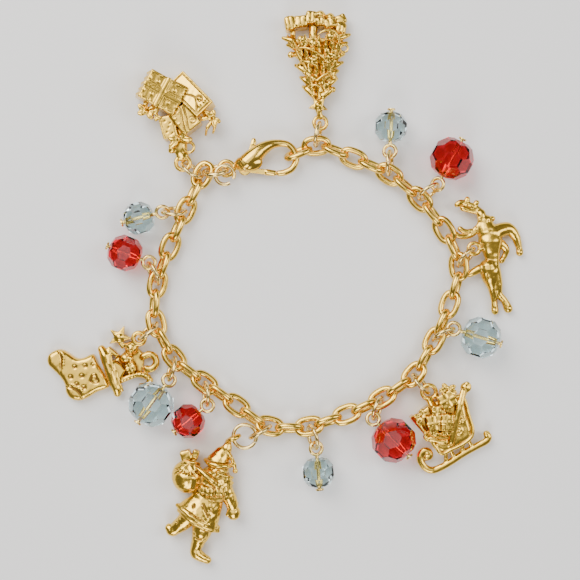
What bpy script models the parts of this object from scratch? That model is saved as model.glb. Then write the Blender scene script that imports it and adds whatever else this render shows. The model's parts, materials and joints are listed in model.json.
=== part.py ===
"""Charm bracelet lying on a table: cable chain, lobster clasp, six cast charms and nine glass beads.

Metres, +Z up. The loop lies on z = 0 with its clasp at +Y, and each piece is one object.
"""

import math

import bmesh
import bpy
import numpy as np
from mathutils import Matrix, Vector

MM = 0.001
CLEARANCE = 0.3 * MM

# Chain of oval cable links, alternately lying open and standing steep
LINK_COUNT = 42
LINK_WIRE = 1.2 * MM
LINK_LENGTH = 5.95 * MM
LINK_WIDTH = 4.2 * MM
LINK_OVERLAP = 0.3 * MM
LINK_END_POINTS = 5
OPEN_ROLL = math.radians(22)
STEEP_ROLL = math.radians(-68)
LAST_ROLL = math.radians(-8)

# The few chosen points that the chain runs through, x and y in mm, clockwise from the clasp's hook
CHAIN_ROUTE = [
    (6.9, 27.5), (13.8, 25.0), (21.0, 21.7), (26.9, 16.7), (31.6, 10.6), (34.2, 3.8), (32.4, -3.4),
    (29.1, -11.0), (25.2, -17.4), (18.8, -22.0), (11.4, -25.3), (3.6, -27.5), (-3.6, -27.0), (-9.0, -23.4),
    (-14.9, -19.2), (-21.2, -14.2), (-25.0, -7.0), (-24.8, 0.2), (-22.2, 8.0), (-18.9, 15.6),
]

# Lobster clasp, in its own frame: its eye is the origin and X runs to the hook
CLASP_ANGLE = math.radians(8)
CLASP_PLACE = (-11.2 * MM, 23.1 * MM)
EYE_OUTER = 3.7 * MM
EYE_WIRE = 0.9 * MM
BODY_PLACE = (4.5 * MM, 0.4 * MM)
BODY_SIZE = (5.9 * MM, 3.7 * MM, 3.2 * MM)
HOOK_WIRE = 1.3 * MM
HOOK_REACH = 14.3 * MM
HOOK_HEIGHT = 3.6 * MM
HOOK_LINK_PLACE = 1.0 * MM
# Shares of the hook's reach and height, and of its wire
HOOK_PATH = [
    (0.36, 0.31, 1.9), (0.50, 0.81, 1.35), (0.685, 1.0, 1.0), (0.86, 0.85, 1.0), (0.945, 0.45, 1.0),
    (0.955, -0.08, 1.0), (0.89, -0.5, 1.0), (0.785, -0.66, 1.0), (0.70, -0.66, 0.9),
]
PIVOT_PLACE = (3.5 * MM, -0.75 * MM)
PIVOT_PIN = 0.7 * MM
LEVER_THICKNESS = 0.9 * MM
LEVER_WIDTH = 1.0 * MM
LEVER_BOSS = 2.3 * MM
GATE_WIRE = 1.2 * MM
TAB_HEADING = math.radians(64)
TAB_LENGTH = 5.9 * MM
LEVER_OPENING = math.radians(26)
LAST_LINK_HEADING = math.radians(60)
END_PLAY = 0.5 * MM
CLASP_RING_OUTER = 5.4 * MM
CLASP_RING_WIRE = 0.95 * MM
CLASP_RING_LEAN = math.radians(-25)
SPARE_RING_OUTER = 4.4 * MM
SPARE_RING_GAP = math.radians(34)
SPARE_RING_ANGLE = math.radians(-25)

# Jump rings and head pins
RING_WIRE = 0.75 * MM
RING_OUTER = 5.3 * MM
PIN_WIRE = 0.7 * MM
PIN_EYE = 3.1 * MM
PIN_HEAD = 1.6 * MM
PIN_HEAD_THICKNESS = 0.4 * MM
BEAD_BORE = 1.3 * MM
BEAD_TABLE = 0.9
# Share of a casting's faces that is kept
CAST_FACES = 0.66

GOLD = (0.83, 0.58, 0.22, 1)
PALE_GOLD = (0.88, 0.72, 0.42, 1)
RED = (0.42, 0.008, 0.02, 1)
BLUE = (0.22, 0.36, 0.38, 1)

# Beads: name, link, ring's heading, lean and eye angle, bead's heading (degrees), diameter (mm), colour
BEADS = [
    ("clear_top", 6, 90, 15, 0, 88, 6.4, BLUE),
    ("red_top", 8, 40, 20, 0, 62, 8.4, RED),
    ("clear_right", 16, 32, 20, 0, -18, 8.0, BLUE),
    ("red_lower_right", 20, -115, -20, 0, -46, 8.6, RED),
    ("clear_bottom", 24, -72, 20, 0, -85, 6.3, BLUE),
    ("red_lower_left", 30, -82, 15, 0, -141, 6.6, RED),
    ("clear_lower_left", 32, -102, 15, 0, -126, 8.7, BLUE),
    ("red_left", 36, 110, -20, 0, 158, 7.0, RED),
    ("clear_left", 40, 185, 20, 0, -165, 6.4, BLUE),
]

# Charms' rings: name, link, place along it (mm), ring's heading, lean and bail angle (degrees)
CHARM_RINGS = [
    ("gifts", 42, -0.3, 149, 20, -20),
    ("tree", 2, 0.0, 82, 10, -20),
    ("reindeer", 12, 0.0, 52, 20, -10),
    ("sleigh", 18, 0.0, -52, -15, -20),
    ("stocking", 34, 0.0, -135, 15, -20),
]
# The two rings of Father Christmas: link, heading and lean of the first, heading of the flat one
SANTA_RINGS = (26, -150, 0, -170)
SANTA_RING_SHIFT = 0.9 * MM


def clear_scene():
    for thing in list(bpy.data.objects):
        bpy.data.objects.remove(thing, do_unlink=True)


def collection(name):
    found = bpy.data.collections.new(name)
    bpy.context.scene.collection.children.link(found)
    return found


def material(name, colour, roughness, metallic):
    made = bpy.data.materials.new(name)
    made.use_nodes = True
    shader = made.node_tree.nodes["Principled BSDF"]
    shader.inputs["Base Color"].default_value = colour
    shader.inputs["Roughness"].default_value = roughness
    shader.inputs["Metallic"].default_value = metallic
    return made


def mesh_object(name, mesh):
    made = bpy.data.objects.new(name, mesh)
    PARTS.objects.link(made)
    return made


def from_bmesh(name, shape):
    bmesh.ops.recalc_face_normals(shape, faces=shape.faces)
    mesh = bpy.data.meshes.new(name)
    shape.to_mesh(mesh)
    shape.free()
    return mesh_object(name, mesh)


def baked(thing):
    """The object with its modifiers or bevel made into a plain welded mesh."""
    name = thing.name
    bpy.context.view_layer.update()
    graph = bpy.context.evaluated_depsgraph_get()
    mesh = bpy.data.meshes.new_from_object(thing.evaluated_get(graph))
    shape = bmesh.new()
    shape.from_mesh(mesh)
    bmesh.ops.remove_doubles(shape, verts=shape.verts, dist=1e-7)
    bmesh.ops.recalc_face_normals(shape, faces=shape.faces)
    shape.to_mesh(mesh)
    shape.free()
    made = bpy.data.objects.new(name, mesh)
    made.matrix_world = thing.matrix_world.copy()
    bpy.data.objects.remove(thing, do_unlink=True)
    made.name = name
    PARTS.objects.link(made)
    return made


def tube(points, wire, closed=False, sides=1, radii=None):
    """A round wire along the points; several closed wires if the points are a list of loops."""
    curve = bpy.data.curves.new("wire", "CURVE")
    curve.dimensions = "3D"
    curve.bevel_depth = wire / 2
    curve.bevel_resolution = sides
    curve.use_fill_caps = True
    for loop in points if closed == "loops" else [points]:
        spline = curve.splines.new("POLY")
        spline.points.add(len(loop) - 1)
        for i, place in enumerate(loop):
            spline.points[i].co = (*place, 1)
            spline.points[i].radius = radii[i] if radii else 1
        spline.use_cyclic_u = bool(closed)
    made = bpy.data.objects.new("wire", curve)
    PARTS.objects.link(made)
    return baked(made)


def ball(centre, size, sides=8, rings=6, turn=0.0):
    """An ellipsoid with the three diameters in size."""
    shape = bmesh.new()
    bmesh.ops.create_uvsphere(shape, u_segments=sides, v_segments=rings, radius=0.5)
    move = Matrix.Translation(centre) @ Matrix.Rotation(turn, 4, "Z") @ Matrix.Diagonal((*size, 1))
    bmesh.ops.transform(shape, matrix=move, verts=shape.verts)
    return from_bmesh("ball", shape)


def block(centre, size, turn=0.0, tip=0.0, roll=0.0):
    """A box turned about Z, after it is tipped about its own Y and rolled about its own X."""
    shape = bmesh.new()
    bmesh.ops.create_cube(shape, size=1)
    spin = Matrix.Rotation(turn, 4, "Z") @ Matrix.Rotation(tip, 4, "Y") @ Matrix.Rotation(roll, 4, "X")
    bmesh.ops.transform(shape, matrix=Matrix.Translation(centre) @ spin @ Matrix.Diagonal((*size, 1)), verts=shape.verts)
    return from_bmesh("block", shape)


def cone(start, end, start_width, end_width, sides=10):
    """A round bar from start to end whose diameter may change."""
    shape = bmesh.new()
    start = Vector(start)
    axis = Vector(end) - start
    bmesh.ops.create_cone(
        shape, cap_ends=True, segments=sides, radius1=start_width / 2, radius2=end_width / 2, depth=axis.length
    )
    spin = Vector((0, 0, 1)).rotation_difference(axis).to_matrix().to_4x4()
    bmesh.ops.transform(shape, matrix=Matrix.Translation(start + axis / 2) @ spin, verts=shape.verts)
    return from_bmesh("cone", shape)


def plate(outline, low, high):
    """A flat piece with this outline (x, y) between two heights."""
    shape = bmesh.new()
    corners = [shape.verts.new((x, y, low)) for x, y in outline]
    face = shape.faces.new(corners)
    grown = bmesh.ops.extrude_face_region(shape, geom=[face])
    moved = [part for part in grown["geom"] if isinstance(part, bmesh.types.BMVert)]
    bmesh.ops.translate(shape, verts=moved, vec=(0, 0, high - low))
    return from_bmesh("plate", shape)


def combine(first, second, operation):
    step = first.modifiers.new(operation.lower(), "BOOLEAN")
    step.operation = operation
    step.object = second
    step.solver = "EXACT"
    made = baked(first)
    bpy.data.objects.remove(second, do_unlink=True)
    return made


def fused(things):
    whole = things[0]
    for thing in things[1:]:
        whole = combine(whole, thing, "UNION")
    return whole


def finished(thing, name, coat):
    thing.name = name
    thing.data.name = name
    thing.data.materials.clear()
    thing.data.materials.append(coat)
    thing.data.shade_smooth()
    thing.data.set_sharp_from_angle(angle=math.radians(40))
    FINISHED.append(thing)
    return thing


def circle(centre, along, across, radius, points, start=0.0, sweep=2 * math.pi):
    """Points round a circle in the plane of the two unit vectors."""
    closed = sweep > 6.28
    steps = [start + sweep * i / (points if closed else points - 1) for i in range(points)]
    return [
        Vector(centre) + Vector(along) * (radius * math.cos(a)) + Vector(across) * (radius * math.sin(a))
        for a in steps
    ]


def smooth_curve(points, steps=24):
    """A Catmull-Rom curve through all points but the first and the last, which only set its end directions."""
    ends = np.asarray(points, float)
    t = np.linspace(0, 1, steps, endpoint=False)[:, None]
    runs = []
    for a, b, c, d in zip(ends[:-3], ends[1:-2], ends[2:-1], ends[3:]):
        cubic = (3 * b - 3 * c + d - a) * t**3 + (2 * a - 5 * b + 4 * c - d) * t**2 + (c - a) * t
        runs.append(b + 0.5 * cubic)
    return np.vstack([*runs, ends[-2:-1]])


def run_length(curve):
    return np.linalg.norm(np.diff(curve, axis=0), axis=1).sum()


# What the chain's sizes fix
LINK_PITCH = LINK_LENGTH - 2 * LINK_WIRE + LINK_OVERLAP
LINK_HALF_LENGTH = (LINK_LENGTH - LINK_WIRE) / 2
LINK_HALF_WIDTH = (LINK_WIDTH - LINK_WIRE) / 2
CHAIN_HEIGHT = LINK_HALF_WIDTH * abs(math.sin(STEEP_ROLL)) + LINK_WIRE / 2
RING_RADIUS = (RING_OUTER - RING_WIRE) / 2
CLASP_RING_RADIUS = (CLASP_RING_OUTER - CLASP_RING_WIRE) / 2
SPARE_RING_RADIUS = (SPARE_RING_OUTER - RING_WIRE) / 2
# The clasp ring rests on the table, so the eye and the last link cross it below its middle
CLASP_RING_LIFT = CLASP_RING_RADIUS * math.cos(CLASP_RING_LEAN) + CLASP_RING_WIRE / 2 - CHAIN_HEIGHT
CLASP_RING_SPAN = 2 * math.sqrt(CLASP_RING_RADIUS**2 - (CLASP_RING_LIFT / math.cos(CLASP_RING_LEAN)) ** 2)


def clasp_point(along, across, height=0.0):
    """A place in the clasp's own frame, whose origin is the eye and whose X runs to the hook."""
    cosine, sine = math.cos(CLASP_ANGLE), math.sin(CLASP_ANGLE)
    x = CLASP_PLACE[0] + along * cosine - across * sine
    y = CLASP_PLACE[1] + along * sine + across * cosine
    return Vector((x, y, CHAIN_HEIGHT + height))


def chain_frames():
    """The centre, direction and outward side of each link, from the hook round to the clasp ring."""
    first_way = Vector((math.cos(CLASP_ANGLE), math.sin(CLASP_ANGLE), 0))
    last_way = Vector((math.cos(LAST_LINK_HEADING), math.sin(LAST_LINK_HEADING), 0))
    hooked = LINK_HALF_LENGTH - LINK_WIRE / 2 - END_PLAY
    first = clasp_point(HOOK_REACH - HOOK_WIRE / 2, HOOK_LINK_PLACE) + first_way * (hooked - HOOK_WIRE / 2)
    last = clasp_point(-CLASP_RING_SPAN, 0) - last_way * (hooked - CLASP_RING_WIRE / 2)
    inner = np.array(CHAIN_ROUTE) * MM
    middle = inner.mean(axis=0)
    grow = np.sin(np.linspace(0, math.pi, len(inner) + 2)[1:-1, None]) ** 0.5
    before = first - first_way * LINK_PITCH
    after = last + last_way * LINK_PITCH

    def curve(stretch):
        through = middle + (inner - middle) * (1 + stretch * grow)
        return smooth_curve(np.vstack([before[:2], first[:2], through, last[:2], after[:2]]))

    needed = (LINK_COUNT - 1) * LINK_PITCH
    low, high = -0.5, 1.0
    for _ in range(40):
        stretch = (low + high) / 2
        if run_length(curve(stretch)) < needed:
            low = stretch
        else:
            high = stretch
    path = curve(stretch)
    lengths = np.concatenate([[0], np.cumsum(np.linalg.norm(np.diff(path, axis=0), axis=1))])
    frames = []
    for i in range(LINK_COUNT):
        here = i * LINK_PITCH
        place = [np.interp(here, lengths, path[:, k]) for k in (0, 1)]
        ahead = [np.interp(here + MM, lengths, path[:, k]) for k in (0, 1)]
        behind = [np.interp(here - MM, lengths, path[:, k]) for k in (0, 1)]
        along = Vector((ahead[0] - behind[0], ahead[1] - behind[1], 0)).normalized()
        frames.append((Vector((*place, CHAIN_HEIGHT)), along, Vector((-along.y, along.x, 0))))
    return frames


def link_loop(frame, roll):
    """The centreline of one link: two straight sides and two half-round ends."""
    centre, along, outward = frame
    across = outward * math.cos(roll) + Vector((0, 0, math.sin(roll)))
    straight = LINK_HALF_LENGTH - LINK_HALF_WIDTH
    points = []
    for end in (1, -1):
        for i in range(LINK_END_POINTS):
            a = math.pi * (i / (LINK_END_POINTS - 1) - 0.5)
            x = end * (straight + LINK_HALF_WIDTH * math.cos(a))
            points.append(centre + along * x + across * (end * LINK_HALF_WIDTH * math.sin(a)))
    return points


def build_chain(frames):
    rolls = [STEEP_ROLL, OPEN_ROLL] * (LINK_COUNT // 2)
    rolls[-1] = LAST_ROLL
    loops = [link_loop(frame, roll) for frame, roll in zip(frames, rolls)]
    steep = tube(loops[0::2], LINK_WIRE, "loops")
    lying = tube(loops[1::2], LINK_WIRE, "loops")
    finished(combine(steep, lying, "UNION"), "chain", GOLD_COAT)


def hanging_ring(frame, heading, lean, place=0.0):
    """Centre and plane of a jump ring that crosses a link's hole near its middle and rests on the table."""
    crossing = frame[0] + frame[1] * place
    for rise in range(-20, 60):
        tilt = math.radians(rise)
        away = Vector((math.cos(heading) * math.cos(tilt), math.sin(heading) * math.cos(tilt), math.sin(tilt)))
        side = Vector((-math.sin(heading), math.cos(heading), 0))
        up = away.cross(side)
        standing = up * math.cos(lean) + side * math.sin(lean)
        centre = crossing + away * RING_RADIUS
        reach = RING_RADIUS * math.hypot(away.z, standing.z) + RING_WIRE / 2
        if centre.z >= reach:
            break
    return centre, away, standing


def place_on_ring(ring, angle):
    """A place on the ring's wire and the wire's direction there."""
    centre, away, standing = ring
    place = centre + (away * math.cos(angle) + standing * math.sin(angle)) * RING_RADIUS
    return place, standing * math.cos(angle) - away * math.sin(angle)


def build_ring(name, ring, points=10):
    loop = circle(ring[0], ring[1], ring[2], RING_RADIUS, points)
    finished(tube(loop, RING_WIRE, True), name, RING_COAT)


def bead_mesh(diameter):
    """A ball cut by staggered rows of flats, with a flat table at each end and a bore along Z."""
    shape = bmesh.new()
    bmesh.ops.create_cube(shape, size=2 * diameter)
    radius = diameter / 2
    rows = ((0, 8, 0.0, 0.94), (36, 8, 0.5, 0.94), (-36, 8, 0.5, 0.94), (66, 6, 0.0, 0.95), (-66, 6, 0.0, 0.95))
    flats = [(0, 0, 1, BEAD_TABLE), (0, 0, -1, BEAD_TABLE)]
    for latitude, count, shift, depth in rows:
        for i in range(count):
            a = 2 * math.pi * (i + shift) / count
            b = math.radians(latitude)
            flats.append((math.cos(a) * math.cos(b), math.sin(a) * math.cos(b), math.sin(b), depth))
    for x, y, z, depth in flats:
        normal = Vector((x, y, z))
        parts = shape.verts[:] + shape.edges[:] + shape.faces[:]
        cut = bmesh.ops.bisect_plane(
            shape, geom=parts, dist=1e-8, plane_co=normal * (depth * radius), plane_no=normal, clear_outer=True
        )
        rim = [edge for edge in cut["geom_cut"] if isinstance(edge, bmesh.types.BMEdge)]
        bmesh.ops.edgenet_fill(shape, edges=rim)
    return from_bmesh("bead", shape)


def turned(axis, twist_to):
    """The rotation that puts Z on the axis and X as near as it can be to twist_to."""
    z = Vector(axis).normalized()
    x = (Vector(twist_to) - z * z.dot(twist_to)).normalized()
    y = z.cross(x)
    return Matrix((x, y, z)).transposed().to_4x4()


def build_bead(row, frames):
    name, link, heading, lean, eye_angle, bead_heading, diameter, colour = row
    diameter *= MM
    ring = hanging_ring(frames[link - 1], math.radians(heading), math.radians(lean))
    build_ring("ring_" + name, ring)
    eye, ring_way = place_on_ring(ring, math.radians(eye_angle))
    half = BEAD_TABLE * diameter / 2
    reach = PIN_EYE / 2 + CLEARANCE + half
    drop = math.asin(max(-0.9, min(0.9, (diameter / 2 - eye.z) / reach)))
    flat = math.radians(bead_heading)
    axis = Vector((math.cos(flat) * math.cos(drop), math.sin(flat) * math.cos(drop), math.sin(drop)))
    centre = eye + axis * reach
    spin = turned(axis, (0, 0, -1))

    bead = bead_mesh(diameter)
    bore = cone((0, 0, -diameter), (0, 0, diameter), BEAD_BORE, BEAD_BORE, 8)
    bead = combine(bead, bore, "DIFFERENCE")
    bead.data.transform(Matrix.Translation(centre) @ spin)
    finished(bead, "bead_" + name, coat_for(colour))

    across = (ring_way - axis * axis.dot(ring_way)).normalized().cross(axis)
    loop = tube(circle(eye, axis, across, (PIN_EYE - PIN_WIRE) / 2, 10), PIN_WIRE, True)
    end = centre + axis * (half + CLEARANCE + PIN_HEAD_THICKNESS / 2)
    stem = cone(eye + axis * ((PIN_EYE - PIN_WIRE) / 2), end, PIN_WIRE, PIN_WIRE, 6)
    lift = axis * PIN_HEAD_THICKNESS / 2
    head = cone(end - lift, end + lift, PIN_HEAD, PIN_HEAD, 8)
    finished(fused([loop, stem, head]), "pin_" + name, PIN_COAT)


def coat_for(colour):
    return RED_COAT if colour == RED else BLUE_COAT


def build_clasp():
    """The cast body with eye, slot, pivot pin and hook; the lever in its slot; and the two rings at the eye."""
    eye = tube(circle(clasp_point(0, 0), CLASP_WAY, CLASP_SIDE, (EYE_OUTER - EYE_WIRE) / 2, 12), EYE_WIRE, True)
    body = ball(clasp_point(*BODY_PLACE), BODY_SIZE, 10, 8, CLASP_ANGLE)
    neck = cone(clasp_point(EYE_OUTER / 2 - EYE_WIRE / 3, 0), clasp_point(*BODY_PLACE), EYE_WIRE, BODY_SIZE[1] * 0.6)
    route = [(x * HOOK_REACH, y * HOOK_HEIGHT, 0) for x, y, _ in HOOK_PATH]
    route = smooth_curve([route[0], *route, route[-1]], 2)
    widths = np.interp(np.linspace(0, 1, len(route)), np.linspace(0, 1, len(HOOK_PATH)), [w for *_, w in HOOK_PATH])
    hook = tube([clasp_point(*place) for place in route], HOOK_WIRE, radii=list(widths))
    whole = fused([body, neck, hook])

    slot = LEVER_THICKNESS / 2 + CLEARANCE
    low, high = CHAIN_HEIGHT - slot, CHAIN_HEIGHT + slot
    room = LEVER_WIDTH / 2 + CLEARANCE
    gate = lever_gate_heading()
    for heading, length in ((gate, BODY_SIZE[0] * 0.88), (TAB_HEADING, TAB_LENGTH * 1.1)):
        whole = combine(whole, plate(swept_arm(heading, LEVER_OPENING, length, room), low, high), "DIFFERENCE")
    pivot = clasp_point(*PIVOT_PLACE)
    up = Vector((0, 0, 1))
    boss_room = cone(pivot - up * slot, pivot + up * slot, LEVER_BOSS + 2 * CLEARANCE, LEVER_BOSS + 2 * CLEARANCE, 12)
    whole = combine(whole, boss_room, "DIFFERENCE")
    pin = cone(pivot - up * (slot + CLEARANCE), pivot + up * (slot + CLEARANCE), PIVOT_PIN, PIVOT_PIN, 10)
    finished(fused([whole, eye, pin]), "clasp_body", GOLD_COAT)

    half = LEVER_THICKNESS / 2
    low, high = CHAIN_HEIGHT - half, CHAIN_HEIGHT + half
    tip = gate_tip()
    reach = math.dist(tip, PIVOT_PLACE)
    boss = cone(pivot - up * half, pivot + up * half, LEVER_BOSS, LEVER_BOSS, 12)
    arm = plate(swept_arm(TAB_HEADING, 0, TAB_LENGTH, LEVER_WIDTH / 2), low, high)
    bar = plate(swept_arm(gate, 0, reach * 0.9, LEVER_WIDTH / 2), low, high)
    rod = cone(arm_point(gate, reach * 0.72), arm_point(gate, reach), GATE_WIRE * 0.9, GATE_WIRE)
    tab = ball(arm_point(TAB_HEADING, TAB_LENGTH), (GATE_WIRE * 1.1, GATE_WIRE, GATE_WIRE * 1.2))
    lever = fused([boss, arm, bar, rod, tab])
    hole = PIVOT_PIN + 2 * CLEARANCE
    bore = cone(pivot - up * LEVER_BOSS, pivot + up * LEVER_BOSS, hole, hole, 10)
    finished(combine(lever, bore, "DIFFERENCE"), "clasp_lever", GOLD_COAT)

    upright = up * math.cos(CLASP_RING_LEAN) + CLASP_SIDE * math.sin(CLASP_RING_LEAN)
    centre = clasp_point(-CLASP_RING_SPAN / 2, 0) + upright * (CLASP_RING_LIFT / math.cos(CLASP_RING_LEAN))
    finished(
        tube(circle(centre, CLASP_WAY, upright, CLASP_RING_RADIUS, 12), CLASP_RING_WIRE, True), "clasp_ring", RING_COAT
    )
    crossing = centre + upright * (CLASP_RING_RADIUS - CLASP_RING_WIRE / 2 - RING_WIRE / 2 - CLEARANCE)
    away = CLASP_WAY * 0.92 - CLASP_SIDE * 0.39
    side = CLASP_WAY * 0.39 + CLASP_SIDE * 0.92
    start = SPARE_RING_ANGLE + SPARE_RING_GAP / 2
    opened = circle(
        crossing + away * SPARE_RING_RADIUS, away, side, SPARE_RING_RADIUS, 13, start, 2 * math.pi - SPARE_RING_GAP
    )
    finished(tube(opened, RING_WIRE), "spare_ring", RING_COAT)


def gate_tip():
    """Where the gate's end stops short of the hook's nose."""
    return HOOK_PATH[-1][0] * HOOK_REACH - CLEARANCE, HOOK_PATH[-1][1] * HOOK_HEIGHT


def lever_gate_heading():
    tip = gate_tip()
    return math.atan2(tip[1] - PIVOT_PLACE[1], tip[0] - PIVOT_PLACE[0])


def arm_point(heading, length):
    return clasp_point(PIVOT_PLACE[0] + length * math.cos(heading), PIVOT_PLACE[1] + length * math.sin(heading))


def swept_arm(heading, sweep, length, half_width):
    """The outline that a bar from the pivot covers as it turns by the sweep."""
    last = heading + sweep
    corners = []
    for angle, side in ((heading, -1), (last, 1)):
        for reach in (0, length):
            x = PIVOT_PLACE[0] + reach * math.cos(angle) - side * half_width * math.sin(angle)
            y = PIVOT_PLACE[1] + reach * math.sin(angle) + side * half_width * math.cos(angle)
            corners.append(tuple(clasp_point(x, y))[:2])
    return [corners[0], corners[1], corners[3], corners[2]]


class Casting:
    """One cast charm: solids placed in mm from its bail, X and Y as on the table, fused and cut flat at z = 0."""

    def __init__(self, bail, wire=0.84 * MM, outer=3.6 * MM, standing=None):
        self.origin = Vector((bail.x, bail.y, 0))
        if standing is None:
            plane = (Vector((1, 0, 0)), Vector((0, 1, 0)))
        else:
            plane = (Vector((math.cos(standing), math.sin(standing), 0)), Vector((0, 0, 1)))
        self.pieces = [tube(circle(bail, *plane, (outer - wire) / 2, 10), wire, True)]

    def at(self, place):
        return self.origin + Vector(place) * MM

    def ball(self, place, size, sides=6, rings=4, turn=0.0):
        self.pieces.append(ball(self.at(place), [side * MM for side in size], sides, rings, math.radians(turn)))

    def box(self, place, size, turn=0.0, tip=0.0):
        sides = [side * MM for side in size]
        self.pieces.append(block(self.at(place), sides, math.radians(turn), math.radians(tip)))

    def bar(self, places, width, sides=1, radii=None):
        self.pieces.append(tube([self.at(place) for place in places], width * MM, sides=sides, radii=radii))

    def cone(self, start, end, start_width, end_width, flat=1.0, sides=10):
        made = cone(self.at(start), self.at(end), start_width * MM, end_width * MM, sides)
        middle = self.at(start).lerp(self.at(end), 0.5)
        squash = Matrix.Translation(middle) @ Matrix.Diagonal((1, 1, flat, 1)) @ Matrix.Translation(-middle)
        made.data.transform(squash)
        self.pieces.append(made)

    def plate(self, outline, low, high):
        self.pieces.append(plate([tuple(self.at((x, y, 0)))[:2] for x, y in outline], low * MM, high * MM))

    def finish(self, name):
        whole = fused(self.pieces)
        room = 60 * MM
        below = block(self.origin - Vector((0, 0, room / 2)), (room, room, room))
        whole = combine(whole, below, "DIFFERENCE")
        thin = whole.modifiers.new("fewer faces", "DECIMATE")
        thin.ratio = CAST_FACES
        finished(baked(whole), name, GOLD_COAT)


def bow(charm, place, size, turn=0.0):
    """A knot with two loops."""
    x, y, z = place
    a = math.radians(turn)
    for side in (1, -1):
        middle = (x + side * 0.33 * size * math.cos(a), y + side * 0.33 * size * math.sin(a), z)
        charm.ball(middle, (0.8 * size, 0.55 * size, 0.55 * size), 6, 4, turn + side * 20)


def build_gifts(bail):
    """A heap of four wrapped boxes with bows."""
    charm = Casting(bail)
    charm.box((-4.2, 13.6, 3.0), (7.8, 6.0, 6.2), -28, 12)
    charm.box((1.7, 13.0, 2.6), (8.6, 4.2, 4.6), -46, -6)
    charm.box((0.6, 8.4, 2.4), (4.8, 4.0, 4.6), -52)
    charm.box((-2.7, 6.9, 2.0), (3.0, 4.4, 3.8), 14)
    for x, y, turn in ((-7.2, 9.9, 60), (6.1, 8.4, -50), (-0.5, 3.7, 10)):
        bow(charm, (x, y, 3.2), 2.3, turn)
    charm.bar([(-7.2, 9.9, 3), (-4.2, 12, 3)], 1.4)
    charm.bar([(6.1, 8.4, 3), (3.4, 11, 3)], 1.4)
    charm.bar([(0, 1.4, 1000 * bail.z), (-0.5, 3.7, 2.8), (-0.5, 7.5, 2.4)], 1.3)
    # Ribbons stand a little above the lids
    charm.box((-4.2, 13.6, 3.2), (8.2, 1.1, 6.5), -28, 12)
    charm.box((-4.2, 13.6, 3.3), (1.1, 6.5, 6.7), -28, 12)
    charm.box((1.7, 13.0, 2.8), (1.1, 4.6, 4.9), -46, -6)
    charm.finish("gifts")


# The fir's tiers: top, low edge and width in mm, from the tip
TREE_TIERS = ((4.6, 8.2, 5.6), (6.8, 11.2, 8.0), (9.4, 14.4, 10.2), (12.2, 17.2, 12.6))
TREE_MIDDLE = (-0.5, 2.8)
TREE_FLATNESS = 0.52


def tree_height(x, y):
    """The height of the tiers' surface over a point."""
    radius = max(width * (0.15 + 0.35 * (y - top) / (low - top)) for top, low, width in TREE_TIERS if top < y < low)
    return TREE_MIDDLE[1] + TREE_FLATNESS * math.sqrt(max(0, radius**2 - (x - TREE_MIDDLE[0]) ** 2))


def build_tree(bail):
    """A fir in four tiers over a row of gifts, its star at the bail."""
    charm = Casting(bail, 0.8 * MM, 3.3 * MM)
    charm.ball((-0.3, 3.0, 2.2), (3.4, 3.2, 1.6), 8, 4)
    charm.bar([(0, 1.2, 1000 * bail.z), (-0.3, 3.0, 2.2), (-0.5, 6.0, 2.4)], 1.3)
    x, z = TREE_MIDDLE
    for top, low, width in TREE_TIERS:
        charm.cone((x, top, z), (x, low, z), width * 0.3, width, TREE_FLATNESS)
    charm.bar([(-1.7, 16.5, 2.4), (-1.7, 20.6, 2.4)], 2.2)
    for x, y, size, turn in ((-5.2, 18.8, 3.4, 12), (-2.0, 20.2, 3.0, -8), (1.0, 19.2, 3.2, 20), (3.8, 18.6, 3.2, -15)):
        charm.box((x, y, 1.9), (size, size, 3.6), turn)
    for x, y in ((-1.5, 15.2), (1.7, 16.1), (2.2, 12.8), (-1.4, 10.4), (0.6, 7.6)):
        charm.ball((x, y, tree_height(x, y)), (1.5, 1.5, 1.5), 6, 4)
    charm.finish("tree")


def build_reindeer(bail):
    """A leaping reindeer on its side, antlers towards the bail."""
    charm = Casting(bail, 0.75 * MM, 3.0 * MM)
    body = 1.7
    charm.ball((3.2, 1.7, body), (4.4, 4.2, 3.3))
    charm.ball((3.2, -0.9, body), (3.4, 6.6, 3.0), 8, 4)
    charm.ball((3.2, -3.2, body), (3.7, 3.4, 3.2))
    charm.bar([(2.8, 2.4, body), (1.9, 3.8, body), (2.1, 5.6, body)], 2.2, 1, (1.1, 0.85, 0.8))
    charm.ball((2.7, 5.8, body), (3.0, 1.8, 1.8), 6, 4, 4)
    charm.bar([(2.2, 6.2, 2.0), (1.3, 7.4, 2.2), (-0.4, 8.3, 2.2), (-3.0, 8.8, 2.0)], 0.9)
    charm.bar([(1.9, 5.2, 2.0), (0.3, 4.1, 2.2), (-0.8, 2.7, 2.2), (-2.2, 2.3, 2.1), (-2.9, 2.9, 2.0)], 0.9)
    charm.bar([(-1.0, 2.8, 2.2), (-2.6, 4.0, 2.1)], 0.8)
    charm.bar([(-0.4, 8.3, 2.2), (-1.6, 7.2, 2.2)], 0.8)
    charm.bar([(1.0, 0, 1000 * bail.z), (2.6, 0, body)], 1.2)
    charm.bar([(4.2, 2.0, 1.4), (6.7, 4.1, 1.2), (9.1, -0.6, 0.8)], 1.3, 1, (1.2, 0.85, 0.75))
    charm.bar([(4.0, 1.4, 1.4), (6.5, -0.2, 1.5), (5.8, -2.2, 1.2)], 1.3, 1, (1.2, 0.85, 0.75))
    charm.bar([(3.0, -3.4, 1.4), (3.9, -7.6, 1.0), (4.4, -11.8, 0.7)], 1.4, 1, (1.4, 0.8, 0.75))
    charm.bar([(3.8, -3.6, 1.8), (5.0, -8.6, 1.2), (7.1, -11.8, 0.7)], 1.4, 1, (1.4, 0.8, 0.75))
    charm.ball((1.5, -4.2, 1.8), (2.4, 1.3, 1.2), 6, 4, -20)
    charm.finish("reindeer")


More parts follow.
